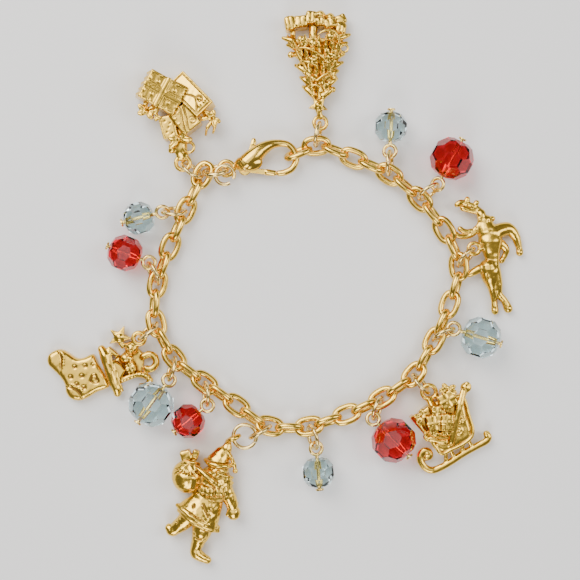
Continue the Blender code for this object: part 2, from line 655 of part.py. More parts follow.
def build_sleigh(bail):
    """A sleigh on its side with gifts in its tub and one runner on two struts."""
    charm = Casting(bail)
    tub = [(-2.2, -5.4), (-1.1, -8.3), (1.3, -11.2), (3.6, -11.7), (8.0, -9.1), (8.4, -6.7), (7.3, -3.4)]
    charm.plate(tub + [(6.7, -0.4), (3.4, -0.6), (-0.1, -2.2), (-1.7, -3.4)], -1, 4.2)
    charm.box((3.2, -7.0, 2.6), (4.6, 3.0, 4.0), 29)
    for x, y, size, turn in ((0.3, -5.0, 2.6, 20), (2.7, -4.4, 2.4, -12), (3.4, -0.9, 3.0, 30), (5.4, -2.2, 2.4, 10)):
        charm.box((x, y, 3.2), (size, size, 4.4), turn)
    scroll = [(0.7 * math.cos(a) - 0.3, 0.7 * math.sin(a) - 12.6, 1.1) for a in (0.6, 2.0, 3.2)]
    runner = scroll + [(-1.85, -13.6, 1.1), (-0.9, -15.2, 1.1), (0.7, -15.6, 1.1), (11.3, -9.9, 1.1), (11.7, -8.6, 1.1)]
    charm.bar(runner, 1.15)
    charm.bar([(3.2, -11.0, 1.2), (4.4, -13.4, 1.1)], 1.2)
    charm.bar([(7.0, -9.0, 1.2), (8.3, -11.4, 1.1)], 1.2)
    charm.bar([(6.4, -0.8, 2.4), (7.2, 1.0, 2.4)], 1.2)
    charm.ball((7.2, 1.1, 2.4), (2.4, 2.4, 2.4))
    charm.bar([(0, -1.4, 1000 * bail.z), (0.8, -3.2, 2.8)], 1.3)
    charm.bar([(-1.2, -6.6, 2.4), (-1.8, -8.6, 2.4), (-0.4, -9.4, 2.4), (0.4, -9.0, 2.4)], 1.0)
    charm.finish("sleigh")


def build_father_christmas(bail, standing):
    """A striding Father Christmas on his back, his sack over one shoulder."""
    charm = Casting(bail, 0.9 * MM, 3.4 * MM, standing + math.radians(15))
    charm.bar([(-1.1, -0.5, 1000 * bail.z), (-1.5, -2.4, 2.6), (-1.5, -5.0, 2.6)], 1.5, 1, (0.7, 1.1, 2.0))
    charm.ball((-1.5, -5.6, 2.6), (3.6, 4.0, 3.8), 8, 5)
    charm.bar([(-3.3, -4.1, 2.6), (-1.6, -4.4, 3.9), (0.0, -5.2, 2.8)], 1.1)
    charm.ball((0.4, -6.3, 2.9), (1.5, 1.5, 1.5), 6, 4)
    charm.ball((-3.7, -8.9, 2.6), (6.8, 7.4, 5.2), 8, 5)
    charm.cone((-4.4, -9.6, 2.4), (-6.8, -15.0, 2.4), 5.6, 9.0, 0.58)
    charm.bar([(-10.9, -13.2, 2.6), (-7.2, -15.6, 4.0), (-3.1, -17.2, 2.8)], 1.6)
    charm.ball((-9.1, -7.3, 2.8), (5.6, 6.4, 5.4), 8, 5, 15)
    charm.bar([(-9.2, -5.2, 3.0), (-9.2, -3.1, 3.0)], 1.7)
    charm.bar([(-8.0, -5.2, 3.0), (-7.0, -2.8, 3.0)], 1.5)
    charm.bar([(-7.8, -5.0, 3.6), (-2.6, -9.2, 4.2)], 1.5)
    charm.bar([(-1.6, -10.4, 2.8), (0.0, -14.2, 2.4)], 2.2)
    charm.ball((0.0, -14.2, 2.4), (2.6, 2.6, 2.4))
    charm.bar([(-8.4, -14.8, 2.0), (-11.0, -17.4, 1.7), (-13.2, -17.0, 1.6)], 2.6, 1, (1, 0.9, 0.8))
    charm.bar([(-5.6, -16.4, 2.0), (-7.0, -20.4, 1.8), (-8.0, -22.8, 1.6), (-4.9, -24.3, 1.5)], 2.8, 1, (1, 0.85, 0.8, 0.7))
    charm.finish("father_christmas")


def build_stocking(bail):
    """A flat-backed casting: a stocking with its cuff turned to a row of toys and sweets."""
    charm = Casting(bail, 0.8 * MM, 3.2 * MM)
    sock = [(-17.7, -3.2), (-15.7, -2.1), (-13.8, -2.9), (-12.2, -4.0), (-8.9, -3.2), (-7.4, -5.4), (-6.0, -8.7)]
    charm.plate(sock + [(-6.3, -9.7), (-10.9, -12.1), (-12.8, -12.1), (-14.1, -11), (-14.9, -8.7), (-16.9, -6.1)], -1, 2.3)
    cuff = [(-8.4, -2.6), (-7.2, -1.8), (-6.2, -2.9), (-5.5, -5.5), (-3.4, -9.5), (-3.4, -10.3), (-4.6, -11.0), (-5.8, -10)]
    charm.plate(cuff, -1, 3.0)
    back = [(-6.4, -2.4), (-4.2, -1.2), (-1.2, -0.8), (1.0, -2.6), (2.8, -3.4), (2.8, -6.2), (-0.4, -7.0), (-4.6, -8.6)]
    charm.plate(back, -1, 1.4)
    charm.ball((-3.8, 0.3, 0.9), (3.6, 3.6, 2.4), 8, 5)
    charm.ball((-1.2, -1.9, 1.4), (2.9, 2.9, 2.9), 8, 5)
    charm.bar([(-0.4, -1.0, 1000 * bail.z), (-1.2, -2.0, 1.6)], 1.2)
    charm.ball((2.2, -3.8, 1.3), (2.5, 2.5, 2.4), 8, 5)
    charm.ball((2.0, -5.9, 1.2), (2.2, 2.2, 2.2), 6, 6)
    charm.box((-1.5, -5.7, 1.2), (2.0, 2.0, 2.6), 20)
    charm.bar([(-4.0, -8.0, 1.1), (-0.4, -7.2, 1.2), (1.5, -7.3, 1.1), (2.0, -8.0, 1.0), (1.0, -8.7, 1.0)], 1.3)
    charm.plate([(-5.7, -5.0), (-2.8, -6.2), (-4.4, -8.2)], 0.5, 2.4)
    charm.finish("stocking")


def build_charms(frames):
    bails = {}
    for name, link, place, heading, lean, bail_angle in CHARM_RINGS:
        ring = hanging_ring(frames[link - 1], math.radians(heading), math.radians(lean), place * MM)
        build_ring("ring_" + name, ring)
        bails[name] = place_on_ring(ring, math.radians(bail_angle))[0]
    link, heading, lean, flat_heading = SANTA_RINGS
    first = hanging_ring(frames[link - 1], math.radians(heading), math.radians(lean))
    build_ring("link_ring_father_christmas", first)
    flat = math.radians(flat_heading)
    away = Vector((math.cos(flat), math.sin(flat), 0))
    side = Vector((-math.sin(flat), math.cos(flat), 0))
    second = (first[0] + first[1] * SANTA_RING_SHIFT + away * RING_RADIUS, away, side)
    build_ring("ring_father_christmas", second)
    build_gifts(bails["gifts"])
    build_tree(bails["tree"])
    build_reindeer(bails["reindeer"])
    build_sleigh(bails["sleigh"])
    build_stocking(bails["stocking"])
    build_father_christmas(place_on_ring(second, 0)[0], flat)


def centre_on_origin():
    """Puts the middle of the whole outline on the origin and its lowest point on z = 0."""
    corners = np.array([v.co[:] for thing in FINISHED for v in thing.data.vertices])
    low, high = corners.min(axis=0), corners.max(axis=0)
    move = Matrix.Translation((-(low[0] + high[0]) / 2, -(low[1] + high[1]) / 2, -low[2]))
    for thing in FINISHED:
        thing.data.transform(move)


clear_scene()
PARTS = collection("charm_bracelet")
FINISHED = []
GOLD_COAT = material("gold", GOLD, 0.22, 1)
RING_COAT = material("pale_gold", PALE_GOLD, 0.2, 1)
PIN_COAT = material("pin_gold", PALE_GOLD, 0.18, 1)
RED_COAT = material("red_glass", RED, 0.05, 0)
BLUE_COAT = material("blue_glass", BLUE, 0.05, 0)
CLASP_WAY = Vector((math.cos(CLASP_ANGLE), math.sin(CLASP_ANGLE), 0))
CLASP_SIDE = Vector((-math.sin(CLASP_ANGLE), math.cos(CLASP_ANGLE), 0))

FRAMES = chain_frames()
build_chain(FRAMES)
for bead_row in BEADS:
    build_bead(bead_row, FRAMES)
build_clasp()
build_charms(FRAMES)
centre_on_origin()
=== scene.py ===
import json
import math

import bmesh
import bpy
import numpy as np
from mathutils import Matrix


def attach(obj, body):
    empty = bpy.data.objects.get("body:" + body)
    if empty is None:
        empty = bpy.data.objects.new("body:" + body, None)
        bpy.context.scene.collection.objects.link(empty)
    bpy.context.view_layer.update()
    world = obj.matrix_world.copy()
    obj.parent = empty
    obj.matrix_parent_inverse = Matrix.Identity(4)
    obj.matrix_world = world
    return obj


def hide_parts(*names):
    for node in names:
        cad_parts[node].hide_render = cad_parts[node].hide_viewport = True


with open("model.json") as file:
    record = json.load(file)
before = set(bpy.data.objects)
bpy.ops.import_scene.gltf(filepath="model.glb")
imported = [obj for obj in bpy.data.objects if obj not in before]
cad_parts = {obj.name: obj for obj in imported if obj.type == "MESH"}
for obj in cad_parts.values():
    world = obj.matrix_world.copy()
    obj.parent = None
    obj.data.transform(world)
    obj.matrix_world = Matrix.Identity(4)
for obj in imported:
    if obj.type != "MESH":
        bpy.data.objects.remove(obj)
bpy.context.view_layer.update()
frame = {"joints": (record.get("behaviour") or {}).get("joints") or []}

# Sizes are in mm and angles in degrees. Pieces are shaped in mm and scaled to metres at the end.
MM = 0.001
UP = np.array((0.0, 0.0, 1.0))
RNG = np.random.default_rng(7)

# Chain
LINK_COUNT = 42
LINK_WIRE = 1.2
LINK_LENGTH = 5.95
LINK_WIDTH = 4.2
LINK_ROUNDNESS = 2.5
LINK_POINTS = 52
CAD_WIRE = 1.2
CAD_OVERLAP = 0.3
OPEN_ROLL = 22
STEEP_ROLL = -68
LAST_ROLL = -8
CHAIN_ROUTE = [
    (6.9, 27.5), (13.8, 25.0), (21.0, 21.7), (26.9, 16.7), (31.6, 10.6), (34.2, 3.8), (32.4, -3.4),
    (29.1, -11.0), (25.2, -17.4), (18.8, -22.0), (11.4, -25.3), (3.6, -27.5), (-3.6, -27.0),
    (-9.0, -23.4), (-14.9, -19.2), (-21.2, -14.2), (-25.0, -7.0), (-24.8, 0.2), (-22.2, 8.0),
    (-18.9, 15.6),
]
ROUTE_STEPS = 24
ROUTE_TRIES = 40
PITCH = LINK_LENGTH - 2 * CAD_WIRE + CAD_OVERLAP
HALF_LENGTH = (LINK_LENGTH - CAD_WIRE) / 2
HALF_WIDTH = (LINK_WIDTH - CAD_WIRE) / 2
CHAIN_HEIGHT = HALF_WIDTH * abs(math.sin(math.radians(STEEP_ROLL))) + CAD_WIRE / 2

# Lobster clasp, in its own frame: its eye is the origin and X runs to the hook
CLASP_ANGLE = 8
CLASP_PLACE = (-11.2, 23.1)
EYE_OUTER = 3.7
EYE_WIRE = 0.9
BODY_PLACE = (4.5, 0.4)
BODY_SIZE = (5.9, 3.7, 3.2)
HOOK_WIRE = 1.3
HOOK_REACH = 14.3
HOOK_HEIGHT = 3.6
HOOK_LINK_PLACE = 1.0
# Shares of the hook's reach and height, and of its wire
HOOK_PATH = np.array([
    (0.28, 0.14, 2.8), (0.40, 0.46, 2.7), (0.53, 0.78, 2.1), (0.685, 0.96, 1.35), (0.86, 0.85, 1.0),
    (0.945, 0.45, 1.0), (0.955, -0.08, 1.0), (0.89, -0.5, 1.0), (0.785, -0.66, 1.0), (0.70, -0.66, 0.9),
])
PIVOT_PLACE = (3.5, -0.75)
PIVOT_PIN = 0.7
LEVER_THICKNESS = 0.9
LEVER_WIDTH = 1.0
LEVER_BOSS = 2.3
GATE_WIRE = 1.2
GATE_START = 0.74 * BODY_SIZE[0]
GATE_END_GAP = 0.6
PIVOT_HALF = 1.45
TAB_HEADING = 64
TAB_LENGTH = 5.9
LEVER_OPENING = 26
SLOT_GAP = 0.25
LAST_LINK_HEADING = 60
END_PLAY = 0.5
CLASP_RING_RADIUS = 2.225
CLASP_RING_WIRE = 0.95
CLASP_RING_LEAN = -25
SPARE_RING_RADIUS = 1.825
SPARE_RING_GAP = 34
SPARE_RING_ANGLE = -25

# Jump rings, head pins and beads
RING_WIRE = 0.75
RING_RADIUS = 2.275
RING_CUT = 3
PIN_WIRE = 0.7
PIN_EYE = 3.1
PIN_HEAD = 1.6
PIN_HEAD_THICKNESS = 0.4
PIN_GAP = 0.3
BEAD_BORE = 1.3
BEAD_TABLE = 0.9
# Facets: latitude, count, turn as a share of one facet, distance as a share of the radius
BEAD_ROWS = [
    (0, 8, 0.0, 0.94), (36, 8, 0.5, 0.94), (-36, 8, 0.5, 0.94), (66, 6, 0.0, 0.95), (-66, 6, 0.0, 0.95),
]
# Beads: name, link, ring's heading and lean, bead's heading (degrees), diameter (mm)
BEADS = [
    ("clear_top", 6, 90, 15, 88, 6.4), ("red_top", 8, 40, 20, 62, 8.4),
    ("clear_right", 16, 32, 20, -18, 8.0), ("red_lower_right", 20, -115, -20, -46, 8.6),
    ("clear_bottom", 24, -72, 20, -85, 6.3), ("red_lower_left", 30, -82, 15, -141, 6.6),
    ("clear_lower_left", 32, -102, 15, -126, 8.7), ("red_left", 36, 110, -20, 158, 7.0),
    ("clear_left", 40, 185, 20, -165, 6.4),
]
# Charms' rings: name, link, place along it (mm), ring's heading, lean and bail angle (degrees)
CHARM_RINGS = [
    ("gifts", 42, -0.3, 149, 20, -20), ("tree", 2, 0.0, 82, 10, -20), ("reindeer", 12, 0.0, 52, 20, -10),
    ("sleigh", 18, 0.0, -52, -15, -20), ("stocking", 34, 0.0, -135, 15, -20),
]
# Father Christmas's rings: link, heading and lean of the first, heading of the flat one
TWO_RINGS = (26, -150, 0, -170)
FLAT_RING_SHIFT = 0.9

# The part of the table that the picture shows
VIEW_SIDE = 113.1
VIEW_MIDDLE = (0.9, -0.2)
CAMERA_HEIGHT = 240.0
SENSOR = 36
CHARM_MIDDLE = 2.5
FLOOR_SIDE = 1600.0
FLOOR_CELLS = 24
FLOOR_TONES = (0.86, 0.88)
WORLD_STRENGTH = 0.2
# Lamps: name, place and side (mm), power (W), colour, height as a share of the side
LAMPS = [
    ("key", (-190, 240, 330), 340, 2.4, (1, 0.98, 0.95), 1.0),
    ("fill", (300, 40, 300), 200, 0.85, (1, 0.99, 0.98), 1.4),
    ("front", (-40, -330, 260), 200, 0.85, (1, 0.98, 0.96), 1.0),
    ("overhead", (-50, 70, 470), 330, 0.6, (1, 1, 1), 1.0),
]

# Finishes: scales of noise per metre, the hollows' depth in mm, and the dark colour of the painted shade
# in them
CLOUD_SCALE = 420
GRAIN_SCALE = 2600
GRAIN_BUMP = 0.00005
GRAIN_STRENGTH = 0.12
DULLER = 0.86
ROUGHNESS_DRIFT = (0.7, 1.5)
STRIAE_SCALE = 160
GLASS_IOR = 1.54
HOLLOW_DEPTH = 0.08
HOLLOW_STEPS = 8
# Painted shade: the dark brown that a casting's hollows are darkened towards, where shade would fall
PAINTED_SHADE_COLOUR = (0.2, 0.085, 0.02, 1)
HOLLOW_RANGE = (0.52, 0.9)
HOLLOW_ROUGHNESS = 0.25
CREASE_ANGLE = 50
FACET_ANGLE = 15
# Fusing: the voxels' size (mm) for the clasp's two pieces, and the last softening of a casting
CLASP_CELL = 0.09
LEVER_CELL = 0.07
LAST_SOFTENING = 0.35
# A mark is cut out to this many times its radius
MARK_REACH = 2.5
# Unevenness: the number of sine waves, and their wavelengths (mm)
WAVES = 12
WAVELENGTHS = (0.7, 2.0)
# Castings: voxels' size (mm), times relaxed, unevenness (mm)
CASTINGS = {
    "gifts": (0.1, 6, 0.01), "tree": (0.12, 3, 0.03), "reindeer": (0.12, 4, 0.015),
    "sleigh": (0.12, 3, 0.012), "father_christmas": (0.12, 3, 0.03), "stocking": (0.12, 4, 0.014),
}


def unit(v):
    v = np.asarray(v, float)
    return v / np.linalg.norm(v, axis=-1, keepdims=True)


def flat_way(heading):
    """The level unit vector at this heading."""
    a = math.radians(heading)
    return np.array((math.cos(a), math.sin(a), 0.0))


def curve(points, steps=8, closed=False):
    """The Catmull-Rom curve through the points: between b and c it is the cubic whose end slopes are
    (c - a) / 2 and (d - b) / 2, where a and d are the points before and after."""
    p = np.asarray(points, float)
    ends = np.roll(p, 1, 0)[:1] if closed else 2 * p[:1] - p[1:2]
    tail = p[:2] if closed else 2 * p[-1:] - p[-2:-1]
    p = np.vstack([ends, p, tail])
    a, b, c, d = (q[:, None] for q in (p[:-3], p[1:-2], p[2:-1], p[3:]))
    t = np.linspace(0, 1, steps, endpoint=False)[None, :, None]
    run = b + 0.5 * ((3 * b - 3 * c + d - a) * t**3 + (2 * a - 5 * b + 4 * c - d) * t**2 + (c - a) * t)
    run = run.reshape(-1, p.shape[1])
    return run if closed else np.vstack([run, p[-2:-1]])


def circle(centre, along, across, radius, count=48, start=0.0, sweep=360.0):
    """Points at centre + radius (cos a along + sin a across); the last is left out of a whole turn."""
    whole = sweep > 359.9
    a = np.radians(start + np.linspace(0, sweep, count, endpoint=not whole))[:, None]
    return np.asarray(centre) + radius * (np.cos(a) * np.asarray(along) + np.sin(a) * np.asarray(across))


def lifted(path, height):
    """Flat points with this height."""
    return np.column_stack([path, np.broadcast_to(height, len(path))])


def stroke(centre, heading, first, last, count):
    """Points on a level line through the centre, from the first distance to the last."""
    return centre + np.linspace(first, last, count)[:, None] * flat_way(heading)


def spin(turn=0.0, tip=0.0):
    """A turn about Z of a tip about Y, in degrees."""
    (c, s), (ct, st) = ((math.cos(math.radians(x)), math.sin(math.radians(x))) for x in (turn, tip))
    about_z = np.array(((c, -s, 0), (s, c, 0), (0, 0, 1)))
    about_y = np.array(((ct, 0, st), (0, 1, 0), (-st, 0, ct)))
    return about_z @ about_y


def lattice(rows, columns, closed_rows=False):
    """Quads between the rows of a grid whose columns close on themselves."""
    count = rows if closed_rows else rows - 1
    i = np.arange(count)[:, None]
    j = np.arange(columns)[None, :]
    after, beside = (i + 1) % rows, (j + 1) % columns
    quads = np.stack([
        i * columns + j, i * columns + beside, after * columns + beside, after * columns + j
    ], -1)
    return quads.reshape(-1, 4)


class Shape:
    """Surfaces joined as arrays: points, quads and end caps, each surface closed."""

    def __init__(self):
        self.points, self.quads, self.caps, self.marks = [], [], [], []
        self.count = 0

    def grid(self, rings, closed=False):
        """A surface through rings of points; open ends are capped flat."""
        rings = np.asarray(rings, float)
        rows, columns, _ = rings.shape
        self.quads.append(lattice(rows, columns, closed) + self.count)
        if not closed:
            first = np.arange(columns) + self.count
            self.caps.append(first[::-1].tolist())
            self.caps.append((first + (rows - 1) * columns).tolist())
        self.points.append(rings.reshape(-1, 3))
        self.count += rows * columns
        return self

    def tube(self, path, width, sides=12, closed=False, flat=1.0, up=UP, rounded=True):
        """A wire: circles of half the width about the path, in the plane across it. flat is the share of
        its width that it keeps along up. Round ends follow a quarter circle."""
        path = np.asarray(path, float)
        widths = np.atleast_1d(np.asarray(width, float))
        radius = np.interp(np.linspace(0, 1, len(path)), np.linspace(0, 1, len(widths)), widths) / 2
        way = np.roll(path, -1, 0) - np.roll(path, 1, 0) if closed else np.gradient(path, axis=0)
        way = unit(way)
        if rounded and not closed:
            bend = np.radians((80.0, 55.0, 28.0))[:, None]
            first = path[:1] - way[:1] * radius[0] * np.sin(bend)
            last = path[-1:] + way[-1:] * radius[-1] * np.sin(bend[::-1])
            path = np.vstack([first, path, last])
            ends = np.cos(bend[:, 0])
            radius = np.concatenate([radius[0] * ends, radius, radius[-1] * ends[::-1]])
            way = np.vstack([np.repeat(way[:1], 3, 0), way, np.repeat(way[-1:], 3, 0)])
        side = np.cross(way, np.broadcast_to(up, way.shape))
        other = np.cross(way, np.broadcast_to((1.0, 0.0, 0.0), way.shape))
        side = unit(np.where(np.linalg.norm(side, axis=1, keepdims=True) < 0.05, other, side))
        over = np.cross(side, way)
        a = np.linspace(0, 2 * np.pi, sides, endpoint=False)[None, :, None]
        r = radius[:, None, None]
        rings = path[:, None] + r * (np.cos(a) * side[:, None] + flat * np.sin(a) * over[:, None])
        return self.grid(rings, closed)

    def bend(self, points, width, sides=12, steps=6, **rest):
        """A tube along the curve through the points."""
        return self.tube(curve(points, steps), width, sides, **rest)

    def ball(self, centre, size, turn=0.0, tip=0.0, sides=20, rows=13):
        """An ellipsoid: (cos b cos a, cos b sin a, sin b) times half its sizes, turned."""
        half = np.broadcast_to(np.asarray(size, float) / 2, (3,))
        b = np.radians(np.linspace(-84, 84, rows))[:, None]
        a = np.linspace(0, 2 * np.pi, sides, endpoint=False)[None, :]
        d = np.stack([np.cos(b) * np.cos(a), np.cos(b) * np.sin(a), np.sin(b) + 0 * a], -1) * half
        return self.grid(d @ spin(turn, tip).T + centre)

    def block(self, centre, size, turn=0.0, tip=0.0, edge=0.25):
        """A box with round edges: the corner's sign times (half size - edge) plus edge times a direction
        on the unit sphere, so that each quarter of the sphere becomes one rounded corner."""
        half = np.asarray(size, float) / 2
        quarter = np.radians((0.0, 22.0, 45.0, 68.0, 90.0))
        a = np.concatenate([quarter + k * np.pi / 2 for k in range(4)])[None, :]
        sx = np.repeat((1, -1, -1, 1), 5)[None, :]
        sy = np.repeat((1, 1, -1, -1), 5)[None, :]
        rise = np.radians((-84.0, -60.0, -30.0, 0.0, 0.0, 30.0, 60.0, 84.0))[:, None]
        sz = np.repeat((-1, 1), 4)[:, None]
        flat = half - edge
        inner = np.stack(np.broadcast_arrays(sx * flat[0], sy * flat[1], sz * flat[2]), -1)
        level = np.cos(rise)
        ball = np.stack(np.broadcast_arrays(level * np.cos(a), level * np.sin(a), np.sin(rise)), -1)
        return self.grid((inner + edge * ball) @ spin(turn, tip).T + centre)

    def plate(self, outline, low, high, edge=0.3, smooth=0):
        """An outline between two heights whose rims are quarter circles: at angle b up the rim the
        outline is drawn in by edge (1 - cos b) along its normal and rises by edge sin b."""
        flat = np.asarray(outline, float)[:, :2]
        if smooth:
            flat = curve(flat, smooth, closed=True)
        run = np.roll(flat, -1, 0) - np.roll(flat, 1, 0)
        area = np.sum(flat[:, 0] * np.roll(flat[:, 1], -1) - flat[:, 1] * np.roll(flat[:, 0], -1))
        outward = unit(np.stack([run[:, 1], -run[:, 0]], -1)) * np.sign(area)
        b = np.radians((90.0, 66.0, 44.0, 22.0, 0.0))
        inset = np.concatenate([1 - np.cos(b), (1 - np.cos(b))[::-1]]) * edge
        heights = np.concatenate([low + edge * (1 - np.sin(b)), (high - edge * (1 - np.sin(b)))[::-1]])
        ring = flat[None] - outward[None] * inset[:, None, None]
        rings = np.concatenate([ring, np.broadcast_to(heights[:, None, None], (*ring.shape[:2], 1))], -1)
        return self.grid(rings)

    def rope(self, path, width, turns, strands=2, share=0.62, sides=10):
        """Strands wound round a path: each strand's middle is a helix of half the width that is left."""
        path = np.asarray(path, float)
        way = unit(np.gradient(path, axis=0))
        side = unit(np.cross(way, UP))
        over = np.cross(side, way)
        reach = (1 - share) * width / 2
        for k in range(strands):
            a = (np.linspace(0, turns, len(path)) + k / strands) * 2 * np.pi
            helix = path + reach * (np.cos(a)[:, None] * side + np.sin(a)[:, None] * over)
            self.tube(helix, share * width, sides)
        return self

    def star(self, centre, reach, thick, turn=0.0, points=5, waist=0.45, edge=0.18):
        """A star: its outline is at the reach on its points and at the waist's share between them."""
        a = np.radians(turn) + np.arange(2 * points) * np.pi / points
        r = reach * np.where(np.arange(2 * points) % 2 == 0, 1.0, waist)
        outline = np.stack([centre[0] + r * np.cos(a), centre[1] + r * np.sin(a)], -1)
        self.plate(outline, centre[2] - thick / 2, centre[2] + thick / 2, edge)
        return self.ball(centre, (reach * 0.9, reach * 0.9, thick * 1.5))

    def bow(self, centre, size, turn=0.0, rise=0.0, tails=True):
        """Two pairs of petals with a hollow along each, a knot, and two flat tails."""
        c = np.asarray(centre, float)
        for side in (1, -1):
            for fan, share in ((-24, 1.0), (26, 0.8)):
                heading = turn + fan * side + (0 if side > 0 else 180)
                way = flat_way(heading)
                long = size * 0.6 * share
                petal = (long, size * 0.34, size * 0.32)
                self.ball(c + way * long * 0.58 + (0, 0, rise * 0.5), petal, heading, -14)
                hollow = c + np.linspace(0.4, 0.85, 8)[:, None] * way * long
                hollow = hollow + (0, 0, rise * 0.5 + size * 0.17)
                self.mark(hollow, size * 0.075, 0.2)
            if tails:
                bent, end = (side * size * 0.16, -size * 0.3, 0.1), (side * size * 0.3, -size * 0.6, 0)
                tail = curve([(0, 0, 0), bent, end], 6) @ spin(turn).T + c
                self.tube(tail, (size * 0.18, size * 0.3), 8, flat=0.6)
        return self.ball(c + (0, 0, rise * 0.5), (size * 0.26, size * 0.26, size * 0.36))

    def mark(self, points, radius, depth):
        """A groove (depth above 0) or a bead line (below 0) along the points, made after the fusing."""
        self.marks.append((np.atleast_2d(np.asarray(points, float)), radius, depth))
        return self

    def arrays(self):
        quads = np.vstack(self.quads)
        return np.vstack(self.points), quads.tolist() + self.caps


def neighbour_sums(mesh, values):
    """The sum of each vertex's neighbours' values, and how many neighbours it has."""
    ends = np.empty(len(mesh.edges) * 2, np.int32)
    mesh.edges.foreach_get("vertices", ends)
    a, b = ends.reshape(-1, 2).T
    n = len(mesh.vertices)
    count = np.bincount(a, minlength=n) + np.bincount(b, minlength=n)
    columns = values.reshape(n, -1)
    sums = [np.bincount(a, column[b], n) + np.bincount(b, column[a], n) for column in columns.T]
    return np.stack(sums, -1).reshape(values.shape), count


def places(mesh):
    co = np.empty(len(mesh.vertices) * 3)
    mesh.vertices.foreach_get("co", co)
    return co.reshape(-1, 3)


def normals(mesh):
    n = np.empty(len(mesh.vertices) * 3)
    mesh.vertices.foreach_get("normal", n)
    return n.reshape(-1, 3)


def put(mesh, co):
    mesh.vertices.foreach_set("co", co.reshape(-1))
    mesh.update()


def relaxed(mesh, times, share=0.5):
    """Each step moves a vertex the share of the way to the mean of its neighbours."""
    for _ in range(times):
        co = places(mesh)
        sums, count = neighbour_sums(mesh, co)
        put(mesh, co + share * (sums / count[:, None] - co))


def carved(mesh, marks):
    """Moves each vertex near a mark along its normal by depth exp(-(distance / radius)^2)."""
    co, way = places(mesh), normals(mesh)
    shift = np.zeros(len(co))
    for points, radius, depth in marks:
        room = MARK_REACH * radius
        near = ((co > points.min(0) - room) & (co < points.max(0) + room)).all(1)
        index = np.flatnonzero(near)
        if not len(index):
            continue
        gap = np.linalg.norm(co[index, None] - points[None], axis=2).min(1)
        push = -depth * np.exp(-((gap / radius) ** 2))
        stronger = np.abs(push) > np.abs(shift[index])
        shift[index[stronger]] = push[stronger]
    put(mesh, co + way * shift[:, None])


def shade_hollows(mesh):
    """Stores how hollow the surface is, 0 to 1: the neighbours' mean height above each vertex's plane,
    over a few steps of spreading, as a share of the hollows' depth."""
    co, way = places(mesh), normals(mesh)
    smooth = co.copy()
    for _ in range(HOLLOW_STEPS):
        sums, count = neighbour_sums(mesh, smooth)
        smooth = sums / count[:, None]
    hollow = np.clip(((smooth - co) * way).sum(1) / HOLLOW_DEPTH, -1, 1) * 0.5 + 0.5
    # The mask for the painted shade in a casting's hollows, and for their duller finish
    field = mesh.attributes.new("hollow", "FLOAT", "POINT")
    field.data.foreach_set("value", hollow.astype(np.float32))


def linked(name, data):
    """A new object with this data, in the scene."""
    made = bpy.data.objects.new(name, data)
    bpy.context.scene.collection.objects.link(made)
    return made


def as_object(name, points, faces):
    mesh = bpy.data.meshes.new(name)
    mesh.from_pydata(points.tolist(), [], faces)
    mesh.update()
    return linked(name, mesh)


def applied(thing):
    """The object's evaluated mesh in place of its own, with no modifier left."""
    graph = bpy.context.evaluated_depsgraph_get()
    mesh = bpy.data.meshes.new_from_object(thing.evaluated_get(graph))
    thing.modifiers.clear()
    thing.data = mesh


def finished(thing, node, coat, origin, slot="gold", body="bracelet"):
    """Moves the shape to its place, scales it to metres, and sets its finish and its body."""
    put(thing.data, (places(thing.data) + origin) * MM)
    thing.data.materials.clear()
    thing.data.materials.append(coat)
    thing.data.shade_smooth()
    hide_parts(node)
    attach(thing, body)


def uneven(mesh, depth):
    """Moves each vertex along its normal by depth times the sum of some sine waves over the square root
    of their number, each wave along its own random direction and with its own wavelength."""
    co, way = places(mesh), normals(mesh)
    directions = unit(RNG.normal(size=(WAVES, 3))) * 2 * np.pi / RNG.uniform(*WAVELENGTHS, (WAVES, 1))
    waves = np.sin(co @ directions.T + RNG.uniform(0, 2 * np.pi, WAVES)).sum(1) / math.sqrt(WAVES)
    put(mesh, co + way * (depth * waves)[:, None])


def fused(name, shape, cell, relax):
    """A shape's surfaces remeshed into one skin and softened as a casting is."""
    thing = as_object(name + "_look", *shape.arrays())
    remesh = thing.modifiers.new("fuse", "REMESH")
    remesh.mode = "VOXEL"
    remesh.voxel_size = cell
    applied(thing)
    relaxed(thing.data, relax)
    return thing


def cast(name, shape, origin, cell, relax, rough):
    """A charm: fused, its relief marked, a little uneven, and flat where it would sink into the table."""
    thing = fused(name, shape, cell, relax)
    mesh = thing.data
    carved(mesh, shape.marks)
    uneven(mesh, rough)
    relaxed(mesh, 1, LAST_SOFTENING)
    co = places(mesh)
    co[:, 2] = np.maximum(co[:, 2], 0)
    put(mesh, co)
    shade_hollows(mesh)
    finished(thing, name, GOLD, origin)


def wire_piece(name, shape, coat, **rest):
    thing = as_object(name + "_look", *shape.arrays())
    finished(thing, name, coat, SHIFT, **rest)
    thing.data.set_sharp_from_angle(angle=math.radians(CREASE_ANGLE))


def node_in(tree, kind, **values):
    made = tree.nodes.new(kind)
    for name, value in values.items():
        setattr(made, name, value)
    return made


def ramp(tree, source, stops):
    made = node_in(tree, "ShaderNodeValToRGB")
    elements = made.color_ramp.elements
    while len(elements) < len(stops):
        elements.new(0.5)
    for element, (place, colour) in zip(elements, stops):
        element.position = place
        element.color = (*colour, 1)
    tree.links.new(source, made.inputs["Fac"])
    return made.outputs["Color"]


def material(name):
    """A new material, its node tree and its shader."""
    made = bpy.data.materials.new(name)
    made.use_nodes = True
    return made, made.node_tree, made.node_tree.nodes["Principled BSDF"]


def noise(tree, scale, detail=2):
    """Clouds of noise in the object's own place."""
    where = node_in(tree, "ShaderNodeTexCoord")
    made = node_in(tree, "ShaderNodeTexNoise")
    made.inputs["Scale"].default_value = scale
    made.inputs["Detail"].default_value = detail
    tree.links.new(where.outputs["Object"], made.inputs["Vector"])
    return made.outputs["Fac"]


